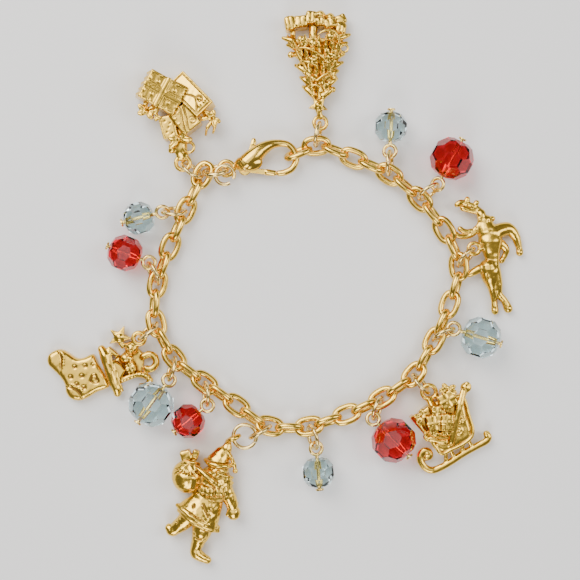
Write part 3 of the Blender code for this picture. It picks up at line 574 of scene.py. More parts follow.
def gold(name, colour, roughness, shaded_hollows=False, grain=1.0):
    """Polished gold plate: its roughness drifts in soft clouds, fine scratches and pits show in the
    reflections, and hollows of a casting are duller and darkened towards brown as painted shade."""
    made, tree, shader = material(name)
    shader.inputs["Metallic"].default_value = 1
    clouds = noise(tree, CLOUD_SCALE, 4)
    duller = tuple(c * DULLER for c in colour)
    body = ramp(tree, clouds, [(0.35, duller), (0.65, colour)])
    rough = node_in(tree, "ShaderNodeMapRange")
    rough.inputs["To Min"].default_value = roughness * ROUGHNESS_DRIFT[0]
    rough.inputs["To Max"].default_value = roughness * ROUGHNESS_DRIFT[1]
    tree.links.new(clouds, rough.inputs["Value"])
    rough_out = rough.outputs["Result"]
    if shaded_hollows:
        # Painted shade: in hollows the base colour is mixed towards a dark brown, and the roughness rises
        # there
        field = node_in(tree, "ShaderNodeAttribute", attribute_name="hollow")
        stops = [(HOLLOW_RANGE[0], (0, 0, 0)), (HOLLOW_RANGE[1], (1, 1, 1))]
        depth = ramp(tree, field.outputs["Fac"], stops)
        mix = node_in(tree, "ShaderNodeMix", data_type="RGBA")
        tree.links.new(depth, mix.inputs["Factor"])
        tree.links.new(body, mix.inputs[6])
        mix.inputs[7].default_value = PAINTED_SHADE_COLOUR
        body = mix.outputs[2]
        add = node_in(tree, "ShaderNodeMath", operation="MULTIPLY_ADD")
        tree.links.new(depth, add.inputs[0])
        add.inputs[1].default_value = HOLLOW_ROUGHNESS
        tree.links.new(rough_out, add.inputs[2])
        rough_out = add.outputs["Value"]
    tree.links.new(body, shader.inputs["Base Color"])
    tree.links.new(rough_out, shader.inputs["Roughness"])
    bump = node_in(tree, "ShaderNodeBump")
    bump.inputs["Strength"].default_value = GRAIN_STRENGTH * grain
    bump.inputs["Distance"].default_value = GRAIN_BUMP
    tree.links.new(noise(tree, GRAIN_SCALE, 3), bump.inputs["Height"])
    tree.links.new(bump.outputs["Normal"], shader.inputs["Normal"])
    return made


def glass(name, colour):
    """Clear coloured glass with faint striae."""
    made, tree, shader = material(name)
    shader.inputs["Transmission Weight"].default_value = 1
    shader.inputs["IOR"].default_value = GLASS_IOR
    shader.inputs["Roughness"].default_value = 0
    paler = tuple(min(1, c * 1.12 + 0.01) for c in colour)
    tint = ramp(tree, noise(tree, STRIAE_SCALE), [(0.3, colour), (0.7, paler)])
    tree.links.new(tint, shader.inputs["Base Color"])
    return made


def clasp_point(along, across):
    """A place in the clasp's own frame, whose origin is the eye and whose X runs to the hook."""
    way = flat_way(CLASP_ANGLE)
    side = flat_way(CLASP_ANGLE + 90)
    flat = way * along + side * across
    return flat + (CLASP_PLACE[0], CLASP_PLACE[1], CHAIN_HEIGHT)


def chain_frames():
    """The centre and direction of each link. The route's inner points swell about their middle until the
    curve between the hook and the clasp ring is as long as the links need."""
    first_way, last_way = flat_way(CLASP_ANGLE), flat_way(LAST_LINK_HEADING)
    hooked = HALF_LENGTH - CAD_WIRE / 2 - END_PLAY
    reach = HOOK_REACH - HOOK_WIRE / 2
    first = clasp_point(reach, HOOK_LINK_PLACE) + first_way * (hooked - HOOK_WIRE / 2)
    last = clasp_point(-CLASP_RING_SPAN, 0) - last_way * (hooked - CLASP_RING_WIRE / 2)
    inner = np.array(CHAIN_ROUTE)
    middle = inner.mean(axis=0)
    grow = np.sin(np.linspace(0, math.pi, len(inner) + 2)[1:-1, None]) ** 0.5
    before, after = first - first_way * PITCH, last + last_way * PITCH

    def route(stretch):
        through = middle + (inner - middle) * (1 + stretch * grow)
        run = curve(np.vstack([before[:2], first[:2], through, last[:2], after[:2]]), ROUTE_STEPS)
        return run[ROUTE_STEPS:-ROUTE_STEPS]

    def lengths(run):
        return np.concatenate([[0], np.cumsum(np.linalg.norm(np.diff(run, axis=0), axis=1))])

    low, high = -0.5, 1.0
    for _ in range(ROUTE_TRIES):
        stretch = (low + high) / 2
        if lengths(route(stretch))[-1] < (LINK_COUNT - 1) * PITCH:
            low = stretch
        else:
            high = stretch
    run = route(stretch)
    far = lengths(run)
    here = np.arange(LINK_COUNT) * PITCH

    def at(s):
        return np.stack([np.interp(s, far, run[:, 0]), np.interp(s, far, run[:, 1])], -1)

    way = unit(at(here + 1) - at(here - 1))
    flat = np.zeros((LINK_COUNT, 1))
    return np.hstack([at(here), flat + CHAIN_HEIGHT]), np.hstack([way, flat])


def link_loop(centre, along, roll):
    """One link's centreline, between an ellipse and a stadium: |x / length|^n + |y / width|^n = 1."""
    outward = np.cross(UP, along)
    across = outward * math.cos(math.radians(roll)) + UP * math.sin(math.radians(roll))
    a = np.linspace(0, 2 * np.pi, LINK_POINTS, endpoint=False)
    xs = HALF_LENGTH * np.sign(np.cos(a)) * np.abs(np.cos(a)) ** (2 / LINK_ROUNDNESS)
    ys = HALF_WIDTH * np.sign(np.sin(a)) * np.abs(np.sin(a)) ** (2 / LINK_ROUNDNESS)
    return centre + xs[:, None] * along + ys[:, None] * across, np.cross(along, across)


def hanging_ring(centre, along, heading, lean, place=0.0):
    """Centre and plane of a jump ring that crosses a link's hole and rests on the table: the first rise,
    in whole degrees, at which its lowest point is clear of the table."""
    way, side = flat_way(heading), flat_way(heading + 90)
    rise = np.radians(np.arange(-20, 60))[:, None]
    away = way * np.cos(rise) + UP * np.sin(rise)
    upright = np.cross(away, side) * math.cos(math.radians(lean)) + side * math.sin(math.radians(lean))
    middle = centre + along * place + away * RING_RADIUS
    reach = RING_RADIUS * np.hypot(away[:, 2], upright[:, 2]) + RING_WIRE / 2
    first = int(np.argmax(middle[:, 2] >= reach))
    return middle[first], away[first], upright[first]


def on_ring(ring, angle):
    """A place on the ring's wire and the wire's direction there."""
    middle, away, upright = ring
    a = math.radians(angle)
    place = middle + (away * math.cos(a) + upright * math.sin(a)) * RING_RADIUS
    return place, upright * math.cos(a) - away * math.sin(a)


RING_UPRIGHT = math.cos(math.radians(CLASP_RING_LEAN))
CLASP_RING_LIFT = CLASP_RING_RADIUS * RING_UPRIGHT + CLASP_RING_WIRE / 2 - CHAIN_HEIGHT
CLASP_RING_SPAN = 2 * math.sqrt(CLASP_RING_RADIUS**2 - (CLASP_RING_LIFT / RING_UPRIGHT) ** 2)
# The frame stands where the lever's hinge is
SHIFT = np.array(frame["joints"][0]["pos_m"]) * 1000 - clasp_point(*PIVOT_PLACE)

GOLD = gold("cast gold", (0.94, 0.6, 0.08), 0.19, shaded_hollows=True)
CHAIN_GOLD = gold("chain gold", (0.94, 0.61, 0.1), 0.17)
CLASP_GOLD = gold("clasp gold", (0.94, 0.61, 0.1), 0.15, shaded_hollows=True, grain=0.6)
RING_GOLD = gold("ring gold", (0.94, 0.69, 0.24), 0.16)
PIN_GOLD = gold("pin gold", (0.94, 0.67, 0.2), 0.16, grain=0.5)
RED_GLASS = glass("red glass", (0.72, 0.007, 0.022))
BLUE_GLASS = glass("blue glass", (0.64, 0.79, 0.82))


def build_chain(centres, ways):
    """The links, alternately steep and open."""
    rolls = [STEEP_ROLL, OPEN_ROLL] * (LINK_COUNT // 2)
    rolls[-1] = LAST_ROLL
    links = Shape()
    for centre, way, roll in zip(centres, ways, rolls):
        loop, normal = link_loop(centre, way, roll)
        links.tube(loop, LINK_WIRE, 16, closed=True, up=normal)
    wire_piece("chain", links, CHAIN_GOLD)


def build_ring(name, ring, wire=RING_WIRE, radius=RING_RADIUS, cut=RING_CUT, cut_at=100):
    """A jump ring: a turn of wire, its sawn ends all but closed."""
    middle, away, upright = ring
    loop = circle(middle, away, upright, radius, 65, cut_at + cut / 2, 360 - cut)
    normal = np.cross(away, upright)
    shape = Shape().tube(loop, wire, 14, up=normal, rounded=False)
    wire_piece(name, shape, RING_GOLD, slot="ring_gold")


def turned(axis, twist_to):
    """The rotation that puts Z on the axis and X as near as it can be to twist_to."""
    z = unit(axis)
    x = unit(np.asarray(twist_to) - z * np.dot(z, twist_to))
    return np.stack([x, np.cross(z, x), z], -1)


def cut_bead(diameter):
    """A ball cut by staggered rows of flats, with a flat table at each end along Z."""
    shape = bmesh.new()
    bmesh.ops.create_cube(shape, size=2 * diameter)
    flats = [(np.array((0, 0, 1.0)), BEAD_TABLE), (np.array((0, 0, -1.0)), BEAD_TABLE)]
    for latitude, count, shift, depth in BEAD_ROWS:
        b = math.radians(latitude)
        for a in 2 * np.pi * (np.arange(count) + shift) / count:
            way = np.array((math.cos(a) * math.cos(b), math.sin(a) * math.cos(b), math.sin(b)))
            flats.append((way, depth))
    for normal, depth in flats:
        parts = shape.verts[:] + shape.edges[:] + shape.faces[:]
        place = normal * depth * diameter / 2
        cut = bmesh.ops.bisect_plane(
            shape, geom=parts, dist=1e-6, plane_co=place, plane_no=normal, clear_outer=True
        )
        rim = [edge for edge in cut["geom_cut"] if isinstance(edge, bmesh.types.BMEdge)]
        bmesh.ops.edgenet_fill(shape, edges=rim)
    bmesh.ops.recalc_face_normals(shape, faces=shape.faces)
    mesh = bpy.data.meshes.new("bead")
    shape.to_mesh(mesh)
    shape.free()
    return linked("bead", mesh)


def cut_from(thing, cutter_shape):
    """Cuts a shape out of an object."""
    cutter = as_object("cutter", *cutter_shape.arrays())
    step = thing.modifiers.new("cut", "BOOLEAN")
    step.operation = "DIFFERENCE"
    step.object = cutter
    step.solver = "EXACT"
    applied(thing)
    bpy.data.objects.remove(cutter, do_unlink=True)


def build_bead(row, centres, ways):
    """A jump ring, the glass bead that hangs from it, and the pin through the bead."""
    name, link, heading, lean, bead_heading, diameter = row
    ring = hanging_ring(centres[link - 1], ways[link - 1], heading, lean)
    build_ring("ring_" + name, ring, cut_at=70 + 31 * link % 90)
    eye, ring_way = on_ring(ring, 0)
    half = BEAD_TABLE * diameter / 2
    reach = PIN_EYE / 2 + PIN_GAP + half
    drop = math.asin(max(-0.9, min(0.9, (diameter / 2 - eye[2]) / reach)))
    axis = flat_way(bead_heading) * math.cos(drop) + UP * math.sin(drop)
    centre = eye + axis * reach

    bead = cut_bead(diameter)
    bore = Shape().tube([(0, 0, -diameter), (0, 0, diameter)], BEAD_BORE, 20, rounded=False)
    cut_from(bead, bore)
    put(bead.data, places(bead.data) @ turned(axis, (0, 0, -1.0)).T)
    is_red = name.startswith("red")
    bead.name = "bead_" + name + "_look"
    coat, slot = (RED_GLASS, "red_glass") if is_red else (BLUE_GLASS, "blue_glass")
    finished(bead, "bead_" + name, coat, centre + SHIFT, slot=slot)
    bead.data.set_sharp_from_angle(angle=math.radians(FACET_ANGLE))

    across = np.cross(unit(ring_way - axis * axis.dot(ring_way)), axis)
    radius = (PIN_EYE - PIN_WIRE) / 2
    # The eye is the stem's own wire, bent sideways and round until its end all but meets the stem
    loop = circle(eye, axis, across, radius, 57, 8, 346)
    start = eye + axis * radius
    end = centre + axis * (half + PIN_GAP)
    pin = Shape().tube(loop, PIN_WIRE, 12, up=np.cross(axis, across))
    pin.tube([start - axis * 0.1, start + axis * 0.4, end], PIN_WIRE, 14, up=ring_way, rounded=False)
    rim = PIN_HEAD_THICKNESS * np.array((0, 0.12, 0.5, 0.88, 1.0))
    widths = PIN_HEAD * np.array((0.8, 0.96, 1.0, 0.96, 0.8))
    pin.tube(end + rim[:, None] * axis, widths, 24, up=ring_way, rounded=False)
    wire_piece("pin_" + name, pin, PIN_GOLD, slot="pin_gold")


def arm(heading, sweep, length, half_width):
    """The outline that a bar from the pivot covers as it turns by the sweep."""
    corners = []
    for angle, side in ((heading, -1), (heading + sweep, 1)):
        way, across = flat_way(angle), flat_way(angle + 90)
        for far in (0, length):
            place = way * far + across * side * half_width
            corners.append(clasp_point(PIVOT_PLACE[0] + place[0], PIVOT_PLACE[1] + place[1]))
    return np.array([corners[0], corners[1], corners[3], corners[2]])[:, :2]


def from_pivot(heading, length):
    """A place in the clasp at this heading and distance from the pivot."""
    way = flat_way(heading) * length
    return clasp_point(PIVOT_PLACE[0] + way[0], PIVOT_PLACE[1] + way[1])


def build_clasp():
    """The cast body with eye, slot and hook, its pivot pin, the lever, and the two rings at the eye."""
    way, side = flat_way(CLASP_ANGLE), flat_way(CLASP_ANGLE + 90)
    body = Shape()
    eye = circle(clasp_point(0, 0), way, side, (EYE_OUTER - EYE_WIRE) / 2)
    body.tube(eye, EYE_WIRE, 16, closed=True)
    body.ball(clasp_point(*BODY_PLACE), BODY_SIZE, CLASP_ANGLE, sides=40, rows=29)
    neck = [
        clasp_point(EYE_OUTER / 2 - EYE_WIRE / 3, 0), clasp_point(2.4, 0.15), clasp_point(*BODY_PLACE)
    ]
    body.tube(curve(neck, 8), (EYE_WIRE * 1.1, 1.9, BODY_SIZE[1] * 0.72), 24, rounded=False)
    route = np.array([clasp_point(x * HOOK_REACH, y * HOOK_HEIGHT) for x, y, _ in HOOK_PATH])
    widths = curve(HOOK_PATH[:, 2:3], 8)[:, 0] * HOOK_WIRE
    body.tube(curve(route, 8), widths, 24)
    thing = fused("clasp_body", body, CLASP_CELL, 5)
    shade_hollows(thing.data)

    tip = np.array((HOOK_PATH[-1][0] * HOOK_REACH - 0.3, HOOK_PATH[-1][1] * HOOK_HEIGHT))
    gate = math.degrees(math.atan2(tip[1] - PIVOT_PLACE[1], tip[0] - PIVOT_PLACE[0]))
    reach = float(np.hypot(*(tip - PIVOT_PLACE)))
    slot = LEVER_THICKNESS / 2 + SLOT_GAP
    room = LEVER_WIDTH / 2 + SLOT_GAP
    low, high = CHAIN_HEIGHT - slot, CHAIN_HEIGHT + slot
    for heading, length in ((gate, BODY_SIZE[0] * 0.88), (TAB_HEADING, TAB_LENGTH * 1.1)):
        cut_from(thing, Shape().plate(arm(heading, LEVER_OPENING, length, room), low, high, 0.02))
    pivot = clasp_point(*PIVOT_PLACE)
    recess = pivot + np.outer((-slot, slot), UP)
    cut_from(thing, Shape().tube(recess, LEVER_BOSS + 2 * SLOT_GAP, 32, rounded=False))
    finished(thing, "clasp_body", CLASP_GOLD, SHIFT)
    # The pivot's two riveted ends show on the cheeks
    pin = Shape().tube(pivot + np.outer((-PIVOT_HALF, PIVOT_HALF), UP), PIVOT_PIN, 20)
    pivot_pin = as_object("clasp_pivot_pin", *pin.arrays())
    finished(pivot_pin, "clasp_body", PIN_GOLD, SHIFT)

    half = LEVER_THICKNESS / 2
    low, high = CHAIN_HEIGHT - half, CHAIN_HEIGHT + half
    lever = Shape()
    lever.plate(circle(pivot, way, side, LEVER_BOSS / 2, 32), low, high, 0.12)
    lever.plate(arm(TAB_HEADING, 0, TAB_LENGTH, LEVER_WIDTH / 2), low, high, 0.12)
    lever.plate(arm(gate, 0, reach * 0.9, LEVER_WIDTH / 2), low, high, 0.12)
    bar = [from_pivot(gate, GATE_START), from_pivot(gate, reach - GATE_END_GAP)]
    lever.tube(bar, (GATE_WIRE * 1.08, GATE_WIRE * 0.95), 20)
    tab = [from_pivot(TAB_HEADING, TAB_LENGTH - 0.7), from_pivot(TAB_HEADING + 1, TAB_LENGTH + 0.1)]
    lever.tube(tab, (GATE_WIRE * 0.9, GATE_WIRE * 0.8), 20)
    thing = fused("clasp_lever", lever, LEVER_CELL, 3)
    bore = Shape().tube(pivot + np.outer((-2, 2), UP), PIVOT_PIN + 0.3, 24, rounded=False)
    cut_from(thing, bore)
    shade_hollows(thing.data)
    finished(thing, "clasp_lever", CLASP_GOLD, SHIFT, body="clasp_lever")

    lean = math.radians(CLASP_RING_LEAN)
    upright = UP * math.cos(lean) + side * math.sin(lean)
    centre = clasp_point(-CLASP_RING_SPAN / 2, 0) + upright * (CLASP_RING_LIFT / math.cos(lean))
    build_ring("clasp_ring", (centre, way, upright), CLASP_RING_WIRE, CLASP_RING_RADIUS, cut_at=160)
    crossing = centre + upright * (CLASP_RING_RADIUS - CLASP_RING_WIRE / 2 - RING_WIRE / 2 - 0.3)
    away = unit(way * 0.92 - side * 0.39)
    across = unit(way * 0.39 + side * 0.92)
    spare = (crossing + away * SPARE_RING_RADIUS, away, across)
    build_ring("spare_ring", spare, RING_WIRE, SPARE_RING_RADIUS, SPARE_RING_GAP, SPARE_RING_ANGLE)


def bail_loop(shape, bail, outer, wire, standing=None):
    """The charm's own ring, lying flat, or upright in the plane through this heading."""
    ring_up = UP if standing is None else np.cross(flat_way(standing), UP)
    along = flat_way(0) if standing is None else flat_way(standing)
    across = flat_way(90) if standing is None else UP
    shape.tube(circle(bail, along, across, (outer - wire) / 2, 40), wire, 16, closed=True, up=ring_up)


def lid(centre, size, turn, tip):
    """Turns a box's own (u, v) in mm from the middle of its lid, and a height above it, into a place."""
    frame_of = spin(turn, tip)

    def place(u, v, w=0.0):
        u, v = np.broadcast_arrays(np.asarray(u, float), np.asarray(v, float))
        own = np.stack([u, v, np.full(u.shape, size[2] / 2 + w)], -1)
        return own @ frame_of.T + centre

    return place


def rim_line(half_u, half_v, count):
    """Points round a rectangle, and back to the first."""
    corners = half_u * np.array((-1, 1, 1, -1, -1)), half_v * np.array((-1, -1, 1, 1, -1))
    rim = np.stack(corners, -1)
    return np.concatenate([np.linspace(a, b, count) for a, b in zip(rim[:-1], rim[1:])])


def parcel(shape, centre, size, turn, tip=0.0, ribbon=0.0, dots=0, edge=0.2):
    """A wrapped box with ribbons crossing its lid and running down its sides, and rows of dots."""
    shape.block(centre, size, turn, tip, edge)
    if ribbon:
        for along in (0, 1):
            band = [size[0] + 0.24, size[1] + 0.24, size[2] + 0.24 + 0.06 * along]
            band[1 - along] = ribbon
            shape.block(centre, band, turn, tip, 0.09)
    place = lid(centre, size, turn, tip)
    if dots:
        u, v = np.meshgrid(*(np.linspace(-0.5, 0.5, 2 * dots + 1) * (side - 0.7) for side in size[:2]))
        free = (abs(u) > ribbon / 2 + 0.25) & (abs(v) > ribbon / 2 + 0.25)
        shape.mark(place(u[free], v[free]), 0.3, -0.13)
    return place


def build_gifts(bail):
    """A heap of four wrapped boxes with bows, lying on its back."""
    b = bail[2]
    s = Shape()
    bail_loop(s, (0, 0, b), 3.6, 0.9)
    big = (-4.2, 13.6, 3.0)
    place = parcel(s, big, (7.8, 6.0, 6.2), -28, 14, 0.85, 2)
    # Raised rims round the four panels of the lid
    for u in (-2.15, 2.15):
        for v in (-1.65, 1.65):
            s.mark(place(*(rim_line(1.45, 1.0, 16) + (u, v)).T), 0.13, -0.1)
    # The left side's dark panel, with pale bosses
    side = spin(-28, 14)
    y, z = np.meshgrid(np.linspace(-2.3, 2.3, 5), np.linspace(-2.0, 2.0, 4))
    spots = np.stack([np.full(y.size, -3.9), y.ravel(), z.ravel()], -1) @ side.T + big
    s.mark(spots, 0.26, -0.22)

    flap = parcel(s, (1.7, 13.0, 2.6), (8.6, 4.4, 4.6), -46, -6)
    s.mark(flap(*rim_line(3.88, 1.78, 40).T), 0.13, 0.16)
    fold = curve([(-2.6, -1.7), (-0.6, -0.7), (1.4, 0.2), (3.7, -1.6)], 16)
    s.mark(flap(*fold.T), 0.13, 0.15)
    leaf = circle((2.0, 0.7, 0), (1, 0, 0), (0, 1, 0), 0.55, 20)
    s.mark(flap(*leaf[:, :2].T), 0.13, 0.14)
    s.mark(flap([2.0, 3.1, 3.1], [0.7, -0.3, 0.9]), 0.3, -0.16)

    low_right = parcel(s, (0.6, 8.4, 2.4), (5.0, 4.2, 4.7), -52)
    for shift in (-0.45, 0.45):
        band = [(-2.4, 0.9 + shift * 0.6), (-0.6, 0.2 + shift), (0.9, -0.6 + shift), (2.4, -1.3 + shift)]
        s.mark(low_right(*curve(band, 12).T), 0.14, 0.15)
    a = np.linspace(0.6, 9.5, 60)
    s.mark(low_right(1.25 + 0.09 * a * np.cos(a), 0.95 + 0.08 * a * np.sin(a)), 0.12, 0.13)
    s.mark(low_right([-1.7, -1.0, -1.6, 0.2], [-1.2, -1.5, -0.4, -1.5]), 0.18, -0.14)
    low_left = parcel(s, (-2.7, 6.9, 2.2), (3.0, 4.4, 4.2), 14)
    for u in (-1.15, 1.15):
        s.mark(low_left(u, np.linspace(-1.9, 1.9, 24)), 0.11, 0.1)
    s.mark(low_left([-0.4, 0.5, 0.0, -0.5, 0.5], [1.2, 0.6, -0.2, -1.0, -1.4]), 0.2, 0.13)

    s.bow((-6.9, 9.7, 3.6), 3.6, 160, 0.5)
    s.bow((-4.9, 9.1, 4.6), 2.6, 110, 0.3, False)
    s.bow((6.1, 8.6, 3.8), 3.2, -60, 0.5)
    s.tube([(5.4, 7.6, 2.6), (4.6, 6.6, 2.2), (4.4, 5.6, 1.4)], (0.7, 0.5), 10)
    s.tube([(6.4, 7.6, 2.6), (6.0, 6.4, 2.0), (5.8, 6.0, 1.4)], (0.7, 0.45), 10)
    s.bow((-0.6, 4.5, 3.6), 4.2, 20, 0.5, False)
    s.tube(circle((1.25, 3.0, 3.3), unit((1, -0.5, 0)), unit((0.5, 1, 0)), 1.0, 28), 0.65, 8, closed=True)
    s.ball((-1.9, 2.7, 2.9), (2.2, 1.5, 1.3), 40)
    s.bend([
        (0, 1.4, b), (-0.4, 2.6, 2.8), (-0.6, 4.2, 2.8), (-0.8, 6.5, 2.4),
    ], (2.4, 2.7, 3.2, 3.4), 18, flat=0.5)
    s.tube([(-6.8, 9.9, 3.2), (-4.2, 11.6, 3.2)], 1.4, 12)
    s.tube([(5.9, 8.4, 3.2), (3.4, 10.6, 3.0)], 1.4, 12)
    return s


# The fir's outer half width at its top and foot, and the heights of its middle line and flatness
TREE_TOP, TREE_FOOT = (4.4, 0.8), (17.2, 5.7)
TREE_MIDDLE = (-0.5, 2.5)
TREE_FLATNESS = 0.55
# Tips of the boughs that stand out at the sides
TREE_TIPS = [
    (-3.3, 7.1), (-3.8, 8.9), (-4.8, 11.2), (-5.5, 13.6), (-6.4, 15.2), (-7.3, 16.6), (2.6, 6.8),
    (3.2, 8.6), (3.4, 10.2), (4.3, 11.8), (4.6, 13.4), (5.2, 15.6), (5.7, 17.2),
]


def tree_height(x, y):
    """The height of the fir's body: half an ellipse across a width that grows from top to foot."""
    half = np.interp(y, (TREE_TOP[0], TREE_FOOT[0]), (TREE_TOP[1], TREE_FOOT[1]))
    return TREE_MIDDLE[1] + TREE_FLATNESS * np.sqrt(np.maximum(half**2 - (x - TREE_MIDDLE[0]) ** 2, 0))


def build_tree(bail):
    """A fir of ragged boughs over a row of gifts, its star at the bail."""
    s = Shape()
    bail_loop(s, (0, 0, bail[2]), 3.3, 0.8)
    s.bend([(0, 1.1, bail[2]), (-0.2, 2.0, 2.6), (-0.4, 3.4, 2.3), (-0.5, 6.0, 2.4)], (1.0, 1.3, 1.4), 12)
    s.star((-0.4, 3.3, 2.8), 2.1, 1.3, -95)
    middle, level = TREE_MIDDLE
    body = [(middle, TREE_TOP[0], level), (middle, TREE_FOOT[0] - 1.1, level)]
    s.tube(body, (1.5, 2 * TREE_FOOT[1] - 2.2), 32, flat=TREE_FLATNESS, rounded=False)
    t = np.linspace(0, 1, 9)
    for row, y in enumerate(np.arange(4.6, 15.2, 1.2)):
        half = np.interp(y, (TREE_TOP[0], TREE_FOOT[0]), (TREE_TOP[1], TREE_FOOT[1])) * 0.93
        count = int(half * 1.75) + 1
        for across in (np.arange(count) + 0.5 + 0.25 * (row % 2 * 2 - 1)) / count * 2 - 1:
            jitter = RNG.uniform(-1, 1, 3)
            start = middle + across * half
            x = start + (0.95 * across + 0.3 * jitter[0]) * t
            twig_y = y + (2.2 + 0.5 * jitter[1]) * t - 0.5 * abs(across) * t
            z = tree_height(x, twig_y) - 0.1 + (0.75 + 0.2 * jitter[2]) * t**1.5
            s.tube(np.stack([x, twig_y, z], -1), (0.7, 1.0, 0.85, 0.4), 8, flat=0.8)
    for x, y in TREE_TIPS:
        side = np.sign(x - middle)
        root = (middle + 0.35 * (x - middle), y - 1.6, level + 0.6)
        s.bend([
            root, (middle + 0.75 * (x - middle), y - 0.6, level + 0.5), (x, y, level),
        ], (1.3, 1.25, 0.7), 10)
        for drop in (0.3, 1.0):
            tip = (x - side * (0.6 + drop), y + 0.55 - 0.15 * drop, level - 0.1)
            s.tube([(x - side * (0.9 + drop), y - 0.4, level + 0.5), tip], (0.8, 0.4), 8)
    s.tube([(-1.4, 14.5, 2.2), (-1.4, 19.0, 2.0)], 1.7, 14)
    s.tube([(2.6, 15.0, 2.0), (3.0, 18.6, 2.0)], 1.5, 12)
    s.tube([(-5.2, 15.0, 2.0), (-5.4, 18.4, 2.0)], 1.1, 12)
    for x, y, across, along, turn in (
            (-5.9, 19.3, 2.1, 2.8, 10), (-3.75, 19.6, 2.5, 2.4, 6), (-1.8, 20.4, 2.1, 2.6, -4),
            (1.8, 19.2, 2.3, 1.9, 14), (4.0, 18.3, 2.1, 2.2, -12), (0.0, 19.6, 1.9, 1.8, 0),
    ):
        s.block((x, y, 2.0), (across, along, 3.8), turn, edge=0.5)
        s.mark(stroke((x, y, 3.8), turn + 90, -1.1, 1.1, 16), 0.15, 0.1)
    s.ball((0.0, 21.0, 2.3), (2.1, 2.0, 3.2))
    s.ball((1.9, 20.5, 2.4), (1.9, 1.9, 2.8))
    s.block((4.0, 20.1, 2.2), (2.2, 1.9, 2.8), 25, edge=0.45)
    # A wreath on the right, and the garland's long loops
    s.tube(circle((4.6, 14.4, 3.3), (1, 0, 0), (0, 1, 0), 0.75, 28), 0.5, 8, closed=True)
    for x, y, size in (
            (-1.5, 15.0, 1.5), (1.8, 16.2, 1.5), (2.3, 12.8, 1.25), (-1.4, 8.4, 1.15), (-3.8, 15.8, 1.2),
            (2.5, 6.4, 1.0), (-5.7, 13.2, 1.2), (-1.6, 11.9, 1.1),
    ):
        s.ball((x, y, tree_height(x, y) + 0.6), (size * 1.15, size * 1.15, size))
    for run in (
            [(-0.1, 16.8), (1.4, 17.3), (2.9, 16.9), (3.6, 15.3)], [(-0.6, 8.0), (1.2, 9.3), (3.0, 8.9)],
            [(-2.6, 6.8), (-0.7, 7.1), (0.4, 6.0)], [(-4.3, 11.2), (-3.0, 11.6), (-0.6, 10.7)],
            [(-4.6, 14.2), (-2.6, 14.0), (-0.2, 12.8), (1.0, 11.6)],
    ):
        path = curve(run, 10)
        s.tube(lifted(path, tree_height(*path.T) + 0.75), 0.55, 8)
    return s


